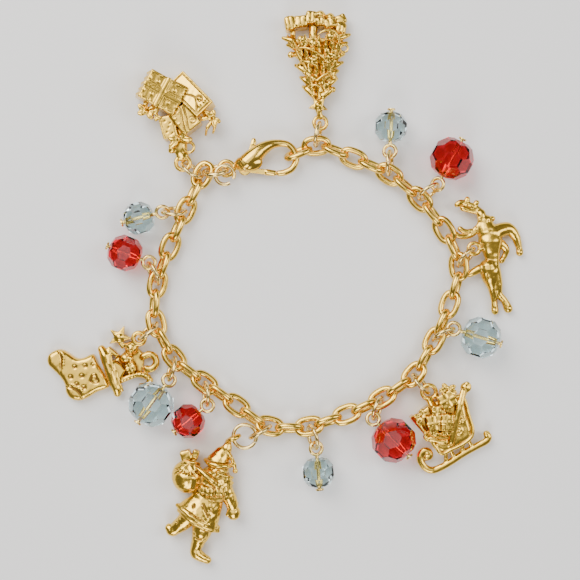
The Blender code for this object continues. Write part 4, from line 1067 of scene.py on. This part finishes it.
def build_reindeer(bail):
    """A leaping reindeer on its side, antlers towards the bail."""
    s = Shape()
    bail_loop(s, (0, 0, bail[2]), 3.0, 0.8)
    s.tube([(1.1, 0, bail[2]), (2.6, 0.1, 1.7)], (0.9, 1.3), 12)
    spine = curve([
        (3.1, 3.0, 1.7), (3.3, 1.4, 1.8), (3.6, -0.8, 1.7), (3.7, -2.2, 1.7), (3.4, -4.4, 1.7),
    ], 6)
    s.tube(spine, (4.2, 4.9, 3.3, 2.7, 4.0), 24, flat=0.72)
    s.bend([(3.1, 2.8, 1.7), (2.5, 4.0, 1.8), (2.2, 5.2, 1.9)], (4.6, 4.0, 3.0), 16, flat=0.7)
    s.ball((2.3, 5.5, 1.9), (2.9, 2.3, 2.2), 14)
    s.ball((1.55, 6.5, 2.0), (1.9, 2.7, 1.9))
    s.tube([(2.7, 5.6, 1.9), (3.7, 5.9, 1.8)], (1.7, 1.2), 12)
    s.ball((3.95, 5.95, 1.95), (0.75, 0.8, 0.8))
    s.tube([(1.5, 5.6, 2.3), (0.9, 5.9, 2.7)], (0.7, 0.4), 8)
    s.mark([(2.75, 5.35, 2.7)], 0.2, 0.22)
    s.mark([(4.0, 5.6, 2.3)], 0.14, 0.12)
    antlers = (
        [(1.9, 6.3), (1.6, 7.1), (0.8, 7.9), (-0.8, 8.7), (-2.4, 9.1), (-3.2, 8.6)],
        [(0.9, 7.2), (0.0, 7.3), (-1.1, 7.6), (-2.1, 7.9)], [(0.0, 8.2), (0.6, 9.0)],
        [(-1.4, 8.9), (-1.2, 9.7)], [(1.5, 5.2), (0.9, 4.4), (-0.1, 3.5), (-1.7, 3.4), (-2.6, 3.9)],
        [(0.4, 3.9), (0.0, 2.9), (-1.5, 2.3), (-2.9, 2.5), (-3.6, 3.0)], [(-0.5, 2.7), (-0.6, 3.4)],
    )
    for run in antlers:
        s.tube(lifted(curve(run, 6), 2.1), (1.2, 0.95, 1.05, 1.15), 10)
    legs = (
        ([
            (3.9, 2.6, 1.6), (5.0, 3.5, 1.5), (6.9, 3.9, 1.4), (8.3, 2.5, 1.2), (9.1, 0.2, 1.0),
            (9.2, -0.7, 1.0),
        ], (3.4, 3.1, 2.6, 1.9, 1.3, 1.5)),
        ([
            (4.4, 1.4, 1.6), (5.6, 0.9, 1.5), (6.5, -0.1, 1.4), (6.4, -1.0, 1.3), (5.7, -2.3, 1.1),
        ], (2.4, 1.8, 1.4, 1.1, 1.2)),
        ([
            (3.0, -3.8, 1.6), (3.4, -5.6, 1.4), (3.9, -7.8, 1.1), (4.2, -10.2, 0.9), (4.4, -12.2, 0.8),
        ], (3.9, 3.4, 1.9, 1.2, 1.5)),
        ([
            (4.0, -4.2, 1.7), (4.7, -6.6, 1.4), (5.1, -8.8, 1.2), (6.2, -10.1, 1.0), (7.0, -11.7, 0.9),
        ], (2.8, 2.2, 1.5, 1.4, 1.8)),
    )
    for path, widths in legs:
        s.bend(path, widths, 16, flat=0.9)
    s.bend([
        (2.4, -3.6, 1.7), (1.2, -3.9, 1.9), (0.1, -4.5, 1.9), (-0.7, -5.0, 1.8),
    ], (1.9, 1.7, 1.3), 12, 5)
    # Harness: a strap round the belly and one round the neck, with the coat's few tufts
    strap = curve([(1.6, 0.6, 3.0), (2.6, 0.3, 3.7), (4.2, 0.0, 3.8), (5.6, -0.3, 2.9)], 20)
    s.mark(strap + (0, 0.25, 0), 0.16, 0.16)
    s.mark(strap - (0, 0.25, 0), 0.16, 0.16)
    collar = curve([(1.6, 3.0, 2.6), (2.7, 3.2, 3.0), (4.0, 3.3, 2.6)], 20)
    s.mark(collar, 0.2, -0.22)
    for x, y in ((2.4, -5.0), (3.0, -4.2), (3.9, -5.4), (3.2, -6.3), (4.4, 2.2), (3.0, 1.9)):
        s.mark(np.linspace((x, y, 3.0), (x + 0.3, y - 0.8, 2.8), 8), 0.13, 0.12)
    for x, y, heading in ((4.4, -11.6, -80), (6.9, -11.2, -60), (9.2, -0.2, -90), (5.9, -1.8, -120)):
        s.mark(stroke((x, y, 1.5), heading + 90, -0.8, 0.8, 12), 0.14, 0.14)
    return s


def build_sleigh(bail):
    """A sleigh on its side, gifts heaped in its tub, one scrolled runner on four struts."""
    s = Shape()
    bail_loop(s, (0, 0, bail[2]), 3.6, 0.9)
    s.bend([(0, -1.4, bail[2]), (0.4, -2.4, 3.0), (0.8, -3.4, 3.2)], (1.3, 1.5), 12, 5)
    tub = [
        (-2.2, -5.4), (-1.1, -8.3), (0.1, -9.4), (1.3, -11.0), (2.6, -11.9), (4.4, -11.1), (6.4, -10.0),
        (7.9, -9.1), (8.4, -7.9), (8.2, -6.3), (7.4, -4.0), (6.9, -1.6), (6.4, -0.4), (3.4, -1.0),
        (-0.1, -2.6), (-2.0, -4.2),
    ]
    s.plate(tub, -0.6, 3.1, 0.5, smooth=4)
    panel = [
        (1.2, -10.2), (2.5, -11.4), (4.3, -10.6), (6.2, -9.6), (7.5, -8.8), (7.9, -7.8), (7.7, -6.4),
        (7.0, -4.2), (6.5, -2.0), (6.0, -0.7), (5.1, -2.6), (4.8, -5.0), (4.3, -7.6), (3.9, -9.0),
        (2.4, -9.4),
    ]
    s.plate(panel, 2.0, 3.9, 0.4, smooth=4)
    rim = [
        (6.3, -0.3), (6.95, -2.0), (7.55, -4.3), (8.25, -6.5), (8.35, -7.9), (7.8, -9.0), (6.3, -10.1),
        (4.2, -11.1), (2.4, -11.9), (1.2, -10.7), (0.1, -9.1),
    ]
    s.bend(lifted(rim, 3.7), 0.7)
    s.bend([(6.4, 0.3, 4.4), (5.7, -2.4, 4.8), (5.0, -5.2, 4.7), (4.1, -9.5, 4.2)], 1.3, 14, flat=0.75)
    rail = [(-0.5, -8.1), (-0.95, -8.6), (-0.5, -9.1), (0.2, -8.9), (0.9, -9.2), (2.6, -9.6), (4.2, -9.3)]
    s.bend(lifted(rail, 3.7), (0.7, 0.9, 0.9))
    s.block((-2.1, -6.3, 2.2), (4.2, 0.9, 3.9), -50, edge=0.2)
    s.tube([(-3.3, -4.8, 3.9), (-0.9, -7.8, 4.1)], 0.75, 12)
    # Scrolls in low relief on the panel
    for x, y, size, turn in (
            (5.6, -7.6, 1.0, 30), (6.4, -5.3, 0.75, 100), (3.9, -10.0, 0.7, -20), (5.7, -3.2, 0.55, 80),
    ):
        a = np.linspace(0.5, 8.5, 50)
        scroll = lifted((size * a / 8.5 * (np.cos(a), np.sin(a))).T, 0) @ spin(turn).T
        s.mark(scroll + (x, y, 3.9), 0.16, -0.14)
    runner = [
        (-0.3, -12.9), (0.2, -12.7), (0.25, -12.1), (-0.35, -11.6), (-1.1, -11.8), (-1.6, -12.6),
        (-1.45, -13.75), (-0.6, -14.9), (0.5, -15.4), (1.75, -15.2), (4.2, -13.9), (6.95, -12.1),
        (9.7, -10.6), (11.2, -9.8), (11.8, -9.0), (11.4, -8.3),
    ]
    s.bend(lifted(runner, 1.3), 1.4, 16, flat=0.85)
    s.ball((11.3, -8.2, 1.4), (1.1, 1.1, 1.2))
    for a, b in (
            ((3.4, -11.0), (3.4, -13.7)), ((4.1, -11.0), (5.1, -13.0)), ((6.7, -9.5), (6.6, -11.9)),
            ((7.5, -9.0), (8.6, -10.9)),
    ):
        s.tube([(*a, 1.8), (*b, 1.3)], 0.8, 10)
    for x, y, across, along, turn, top in (
            (0.8, -5.9, 2.8, 3.1, 12, 5.0), (3.2, -5.7, 2.3, 3.2, -2, 5.4),
            (3.3, -1.4, 3.2, 3.0, 30, 5.1), (1.6, -3.5, 2.6, 1.6, -14, 4.7),
    ):
        parcel(s, (x, y, top / 2), (across, along, top), turn, ribbon=0.55, edge=0.16)
    s.bow((-2.0, -4.3, 4.2), 2.6, 40, 0.3)
    s.bow((3.5, 0.9, 4.3), 3.0, -8, 0.6, False)
    for x, y, turn in ((0.9, -7.9, -20), (3.1, -7.7, 14)):
        s.ball((x, y, 3.9), (2.5, 1.6, 2.4), turn)
        for k in (-0.6, 0.0, 0.6):
            s.mark(stroke((x, y, 5.0) + k * flat_way(turn), turn + 90, -0.6, 0.6, 10), 0.12, 0.12)
    curl = np.linspace(0.4, 7.6, 40)
    way = 0.15 + 0.75 * curl / 7.6
    s.tube(np.stack([7.1 + way * np.cos(curl), 0.9 + way * np.sin(curl), 2.9 + 0 * curl], -1), 0.75, 12)
    s.ball((7.1, 0.9, 2.5), (2.1, 2.1, 1.9))
    s.tube([(6.5, -0.8, 2.6), (7.0, 0.2, 2.6)], 1.2, 12)
    return s


def build_father_christmas(bail, standing):
    """A striding Father Christmas on his back, a sack of toys over one shoulder."""
    s = Shape()
    bail_loop(s, (0, 0, bail[2]), 3.4, 0.95, standing + 15)
    s.bend([
        (-1.0, -0.9, bail[2]), (-1.3, -1.9, 2.9), (-2.1, -3.1, 2.9), (-2.9, -4.5, 2.9),
    ], (1.3, 2.2, 3.4, 4.6), 20, flat=0.85)
    # Hat with its fur band and pompom
    band = curve([
        (-5.4, -4.2, 2.7), (-4.6, -4.6, 4.4), (-3.0, -5.0, 5.1), (-1.3, -5.2, 4.6), (-0.4, -5.2, 2.9),
    ], 6)
    s.tube(band, 1.0, 12)
    s.bend([(-1.2, -2.4, 3.4), (-0.4, -3.6, 3.8), (0.2, -5.0, 3.6), (0.4, -6.0, 3.3)], (1.0, 0.7), 10)
    s.ball((0.4, -6.3, 3.2), (1.1, 1.1, 1.1))
    # Head: a round face with nose, cheeks, brows and moustache over a full beard
    s.ball((-2.9, -6.1, 3.0), (4.2, 3.1, 3.6))
    s.ball((-2.8, -6.3, 4.85), (0.75, 0.75, 0.8))
    for side in (-1, 1):
        x = -2.85 + side * 0.85
        s.ball((x, -6.25, 4.35), (0.72, 0.62, 0.6))
        s.mark(curve([(x - 0.22, -5.72, 4.5), (x, -5.62, 4.6), (x + 0.22, -5.72, 4.5)], 8), 0.11, 0.16)
        s.tube([(-2.8 + side * 0.15, -6.85, 4.75), (-2.8 + side * 1.3, -7.1, 4.3)], (0.8, 0.45), 10)
    for k, a in enumerate(np.linspace(-85, 78, 11)):
        way = flat_way(-95 + a)
        start = np.array((-2.9, -6.8, 4.0)) + 0.6 * way
        far = 2.9 - 0.5 * abs(a) / 62 + 0.3 * (k % 2)
        path = curve([start, start + way * far * 0.5 + (0, 0, 0.15), start + way * far - (0, 0, 0.9)], 6)
        s.tube(path, (1.15, 1.1, 0.6), 10)
    # Coat: chest, shoulder and arm, belt, skirt and its fur hem
    s.ball((-3.7, -9.0, 2.6), (7.2, 7.6, 5.2), sides=32, rows=21)
    s.ball((-4.3, -7.3, 3.6), (3.4, 3.6, 3.2))
    s.tube(
        [(-4.4, -9.6, 2.4), (-5.2, -12.4, 2.4), (-6.8, -15.0, 2.4)], (5.4, 6.6, 8.8), 36, flat=0.6,
        rounded=False
    )
    for side in (0.0, 0.95):
        hem = curve([
            (-10.9 + side * 0.2, -13.1 - side, 2.4), (-9.2, -14.2 - side, 4.0), (-7.0, -15.6 - side, 4.5),
            (-4.7, -16.8 - side * 0.9, 3.9), (-3.0, -17.4 - side * 0.8, 2.4),
        ], 8)
        s.tube(hem, 0.95 - side * 0.2, 12)
    for x, y, z in (
            (-5.9, -10.0, 4.8), (-5.0, -10.3, 5.0), (-4.1, -10.4, 5.0), (-3.05, -10.4, 4.9),
            (-2.2, -10.4, 4.5), (-1.4, -10.4, 4.0),
    ):
        s.ball((x, y + 0.35, z), (1.15, 2.3, 1.5))
    s.bend([(-1.8, -9.4, 3.0), (-0.9, -11.2, 2.9), (-0.2, -13.0, 2.7)], (3.0, 2.8, 2.4), 16)
    s.tube(
        circle((-0.25, -13.0, 2.6), unit((1, 0.35, 0)), UP, 1.0, 24), 0.6, 10, closed=True,
        up=(0.35, -1, 0)
    )
    s.ball((0.0, -14.5, 2.5), (2.8, 3.0, 2.5), 15)
    s.tube([(-0.7, -14.0, 3.0), (-1.2, -14.8, 3.1)], (0.8, 0.7), 10)
    # Sack, its wrinkled mouth, the strap over the shoulder, and the toys that look out
    s.ball((-8.9, -7.4, 2.9), (6.2, 6.6, 5.6), 10, sides=36, rows=25)
    s.bend([(-10.3, -4.9, 2.6), (-9.2, -4.5, 4.3), (-7.9, -4.5, 4.4), (-6.8, -5.0, 3.0)], 0.85, 12)
    s.tube([(-9.0, -4.6, 2.8), (-9.0, -3.2, 2.9)], (1.7, 1.6), 14)
    s.block((-9.2, -3.2, 2.9), (2.1, 2.0, 2.6), 12, edge=0.35)
    s.tube([(-8.0, -5.0, 3.0), (-7.2, -2.9, 3.0)], (1.2, 1.1), 12)
    s.block((-7.3, -3.0, 3.0), (1.3, 1.7, 2.2), -14, edge=0.3)
    s.bend([
        (-7.6, -5.2, 4.0), (-6.0, -6.2, 5.0), (-4.2, -7.7, 5.4), (-2.8, -9.0, 4.6),
    ], (1.0, 1.3, 1.2), 12)
    s.ball((-3.0, -8.8, 4.6), (1.7, 1.6, 1.5))
    for k, a in enumerate(np.linspace(-70, 60, 7)):
        start = np.array((-8.6, -5.0, 5.1))
        way = flat_way(-95 + a)
        fold = curve([
            start, start + way * 1.3 + (0, 0, 0.4), start + way * (2.6 + 0.3 * (k % 2)) - (0, 0, 0.6),
        ], 10)
        s.mark(fold, 0.26, 0.42)
    for x, y, z, turn in (
            (-5.8, -12.6, 4.6, -65), (-7.6, -12.7, 4.4, -80), (-4.4, -13.6, 4.5, -50),
            (-3.9, -11.9, 4.7, -60),
    ):
        s.mark(stroke((x, y, z), turn, 0, 2.5, 22), 0.28, 0.22)
    for y, a, b in ((-18.4, -7.8, -5.2), (-19.3, -7.6, -5.6), (-20.2, -7.9, -6.1)):
        s.mark(curve([(a, y, 3.2), ((a + b) / 2, y - 0.4, 3.5), (b, y - 0.1, 3.2)], 8), 0.18, 0.2)
    for x in (-4.9, -3.9, -2.9):
        s.mark(curve([(x, -11.1, 4.9), (x - 0.4, -11.7, 5.0)], 8), 0.2, -0.16)
    # Legs and boots
    raised = curve([(-8.2, -14.6, 2.1), (-9.6, -16.3, 2.0), (-11.0, -17.5, 1.8)], 6)
    s.tube(raised, (3.8, 3.3, 2.8), 18)
    s.bend([(-11.0, -17.4, 1.8), (-12.0, -18.2, 1.7), (-12.6, -17.6, 1.7)], (2.6, 2.4, 1.7), 14, 5)
    for share in (0.25, 0.5, 0.75):
        centre = raised[int(share * (len(raised) - 1))]
        way = unit((-1.0, 0.9, 0))
        s.mark(centre + (0, 0, 1.2) + np.linspace(-1.3, 1.3, 20)[:, None] * way, 0.15, 0.2)
    s.bend([
        (-5.9, -16.8, 2.1), (-6.3, -18.6, 2.0), (-6.8, -20.0, 1.8), (-7.4, -21.6, 1.6),
    ], (4.2, 3.8, 2.9, 2.2), 18)
    s.bend([
        (-7.4, -21.4, 1.6), (-7.3, -22.6, 1.6), (-6.4, -23.3, 1.6), (-5.1, -24.0, 1.5),
    ], (2.2, 2.5, 2.1, 1.6), 16)
    s.tube(
        circle((-7.35, -21.3, 1.6), unit((1, -0.3, 0)), UP, 0.85, 20), 0.45, 8, closed=True,
        up=(0.3, 1, 0)
    )
    s.mark(np.linspace((-8.2, -23.1, 1.9), (-5.6, -24.6, 1.8), 24), 0.14, 0.14)
    return s


def build_stocking(bail):
    """A flat-backed casting: a stocking whose cuff turns to a row of toys, sweets and a star."""
    s = Shape()
    bail_loop(s, (0, 0, bail[2]), 3.2, 0.95)
    sock = [
        (-18.1, -4.1), (-17.7, -3.1), (-16.4, -2.3), (-15.2, -2.2), (-13.9, -2.9), (-12.3, -3.9),
        (-10.9, -3.8), (-9.1, -3.1), (-8.3, -4.7), (-7.3, -6.3), (-6.3, -8.2), (-6.1, -9.6),
        (-8.3, -10.5), (-10.5, -11.8), (-12.0, -12.2), (-13.5, -11.8), (-14.4, -10.7), (-14.7, -9.0),
        (-15.7, -7.4), (-17.0, -6.1), (-17.9, -5.2),
    ]
    s.plate(sock, -0.8, 2.2, 0.9, smooth=4)
    cuff = curve([
        (-7.4, -2.1, 1.6), (-6.7, -3.4, 1.8), (-6.3, -4.9, 1.8), (-5.6, -6.6, 1.8), (-5.1, -8.4, 1.8),
        (-4.4, -9.8, 1.7), (-4.3, -10.7, 1.5),
    ], 6)
    s.tube(cuff, (1.6, 2.2, 1.9, 2.2, 1.9, 2.0, 1.6), 20, flat=1.1)
    s.rope(cuff[2:-2] + (1.0, 0.2, 0.5), 0.75, 13, sides=8)
    s.plate([
        (-6.2, -5.2), (-4.0, -3.6), (-1.8, -1.4), (0.3, -2.6), (0.8, -4.0), (0.4, -6.4), (-1.0, -7.2),
        (-4.4, -8.4),
    ], -0.8, 1.1, 0.3, smooth=3)
    s.star((-3.9, 0.2, 1.3), 2.5, 1.6, 68, waist=0.42)
    s.block((-5.2, -2.65, 1.2), (2.7, 0.85, 2.3), -40)
    # The toy bear: head with ears and muzzle, body and paw
    s.ball((-1.5, -1.9, 1.7), (2.8, 2.7, 2.7))
    s.ball((-0.9, -0.8, 1.9), (1.3, 1.3, 1.1))
    s.ball((-2.6, -1.4, 1.8), (1.2, 1.2, 1.0))
    s.ball((-1.6, -2.4, 2.8), (1.2, 1.0, 1.0))
    s.ball((-2.7, -3.9, 1.3), (2.4, 2.3, 2.3))
    s.ball((-1.7, -4.0, 1.9), (1.1, 1.3, 1.3))
    s.mark([(-1.1, -1.75, 2.9)], 0.17, 0.2)
    s.mark([(-2.05, -1.85, 2.9)], 0.17, 0.2)
    s.mark([(-1.6, -2.2, 3.3)], 0.16, -0.1)
    parcel(s, (-1.65, -5.7, 1.4), (1.8, 1.8, 2.5), 20, ribbon=0.4, edge=0.15)
    s.plate([
        (-5.8, -5.3), (-4.9, -4.4), (-3.6, -5.1), (-2.7, -6.3), (-3.8, -8.3), (-4.7, -7.2),
    ], -0.5, 2.4, 0.25)
    hook = curve([(0.7, -3.6), (1.9, -3.1), (3.0, -3.7), (3.2, -5.0), (2.3, -6.0), (1.2, -5.9)], 10)
    hook = lifted(hook, 1.3)
    s.tube(hook, 1.15)
    s.rope(hook, 1.5, 5.5, 3, 0.5, 8)
    cane = curve([
        (-3.6, -8.2), (-2.1, -7.6), (-0.5, -7.1), (1.1, -7.3), (2.1, -8.3), (1.3, -9.2), (0.2, -9.4),
    ], 10)
    s.rope(lifted(cane, 1.3), 1.35, 7, 2, 0.6, 10)
    s.bend([(-0.1, -1.0, bail[2]), (-0.6, -1.4, 2.0), (-1.2, -2.0, 1.6)], (0.9, 1.3), 12, 4)
    # Relief: a heart, dimples, and the heel's and toe's rows of stitches
    t = np.linspace(0, 2 * np.pi, 50)
    up = 13 * np.cos(t) - 5 * np.cos(2 * t) - 2 * np.cos(3 * t)
    heart = 0.055 * np.stack([16 * np.sin(t) ** 3, up], -1)
    heart = heart @ np.array(((0.4, -0.9), (0.9, 0.4))) + (-8.8, -8.0)
    s.mark(lifted(heart, 2.2), 0.17, 0.2)
    for x, y in (
            (-10.6, -5.4), (-9.0, -5.2), (-12.6, -5.6), (-11.2, -7.4), (-13.4, -7.6), (-10.8, -9.6),
            (-12.2, -9.0),
    ):
        s.mark([(x, y, 2.2)], 0.36, 0.2)
    toe = curve([(-15.9, -2.1, 2.0), (-15.3, -3.6, 2.2), (-15.2, -4.8, 2.2), (-15.5, -6.9, 1.9)], 10)
    s.mark(toe, 0.2, 0.22)
    heel = curve([(-14.4, -9.4, 1.9), (-13.0, -9.7, 2.2), (-11.7, -10.6, 2.2), (-11.2, -12.0, 1.8)], 10)
    s.mark(heel, 0.2, 0.22)
    for route in (toe, heel):
        s.mark(route[::3] + (0.45, 0.5, 0), 0.17, -0.18)
    return s


def build_charms(centres, ways):
    """The charms' rings, then each charm with its own loop on its ring."""
    bails = {}
    for name, link, place, heading, lean, bail_angle in CHARM_RINGS:
        ring = hanging_ring(centres[link - 1], ways[link - 1], heading, lean, place)
        build_ring("ring_" + name, ring, cut_at=60 + 47 * link % 110)
        bails[name] = on_ring(ring, bail_angle)[0]
    link, heading, lean, flat_heading = TWO_RINGS
    first = hanging_ring(centres[link - 1], ways[link - 1], heading, lean)
    build_ring("link_ring_father_christmas", first, cut_at=120)
    away, side = flat_way(flat_heading), flat_way(flat_heading + 90)
    second = (first[0] + first[1] * FLAT_RING_SHIFT + away * RING_RADIUS, away, side)
    build_ring("ring_father_christmas", second, cut_at=140)
    bails["father_christmas"] = on_ring(second, 0)[0]
    shapes = {
        "gifts": build_gifts(bails["gifts"]), "tree": build_tree(bails["tree"]),
        "reindeer": build_reindeer(bails["reindeer"]), "sleigh": build_sleigh(bails["sleigh"]),
        "father_christmas": build_father_christmas(bails["father_christmas"], flat_heading),
        "stocking": build_stocking(bails["stocking"]),
    }
    for name, shape in shapes.items():
        cast(name, shape, bails[name] * (1, 1, 0) + SHIFT, *CASTINGS[name])


def build_floor():
    made, tree, shader = material("pale table")
    dark, pale = FLOOR_TONES
    tone = ramp(tree, noise(tree, 6), [(0.3, (dark,) * 3), (0.7, (pale,) * 3)])
    tree.links.new(tone, shader.inputs["Base Color"])
    shader.inputs["Roughness"].default_value = 0.7
    cells = np.arange(FLOOR_CELLS)
    line = np.linspace(-FLOOR_SIDE, FLOOR_SIDE, FLOOR_CELLS + 1) / 2
    x, y = np.meshgrid(line, line)
    points = np.column_stack([x.ravel(), y.ravel(), np.zeros(x.size)]) * MM
    row = FLOOR_CELLS + 1
    corner = (cells[:, None] * row + cells[None, :]).ravel()
    faces = np.column_stack([corner, corner + 1, corner + row + 1, corner + row])
    floor = as_object("table", points, faces.tolist())
    floor.data.materials.append(made)


def lamp(name, place, side, power, colour, ratio):
    """A soft box that faces the bracelet's middle."""
    light = bpy.data.lights.new(name, "AREA")
    light.shape = "RECTANGLE"
    light.size = side * MM
    light.size_y = side * ratio * MM
    light.energy = power
    light.color = colour
    where = np.asarray(place, float) * MM
    back = unit(where)
    over = (0.0, 1.0, 0.0) if abs(back[2]) > 0.95 else UP
    right = unit(np.cross(over, back))
    upward = np.cross(back, right)
    turn = np.eye(4)
    turn[:3, 0], turn[:3, 1], turn[:3, 2], turn[:3, 3] = right, upward, back, where
    linked(name, light).matrix_world = Matrix(turn.tolist())


def build_studio():
    world = bpy.data.worlds.new("studio")
    world.use_nodes = True
    background = world.node_tree.nodes["Background"]
    background.inputs["Color"].default_value = (1, 0.98, 0.96, 1)
    background.inputs["Strength"].default_value = WORLD_STRENGTH
    bpy.context.scene.world = world
    for row in LAMPS:
        lamp(*row)


def build_camera():
    camera = bpy.data.cameras.new("camera")
    camera.sensor_width = SENSOR
    # The picture's side is seen at a charm's half height
    camera.lens = SENSOR * (CAMERA_HEIGHT - CHARM_MIDDLE) / VIEW_SIDE
    camera.clip_start = 0.01
    camera.clip_end = 20
    made = linked("camera", camera)
    made.location = (VIEW_MIDDLE[0] * MM, VIEW_MIDDLE[1] * MM, CAMERA_HEIGHT * MM)
    bpy.context.scene.camera = made


CENTRES, WAYS = chain_frames()
build_chain(CENTRES, WAYS)
for bead in BEADS:
    build_bead(bead, CENTRES, WAYS)
build_clasp()
build_charms(CENTRES, WAYS)
build_floor()
build_studio()
build_camera()
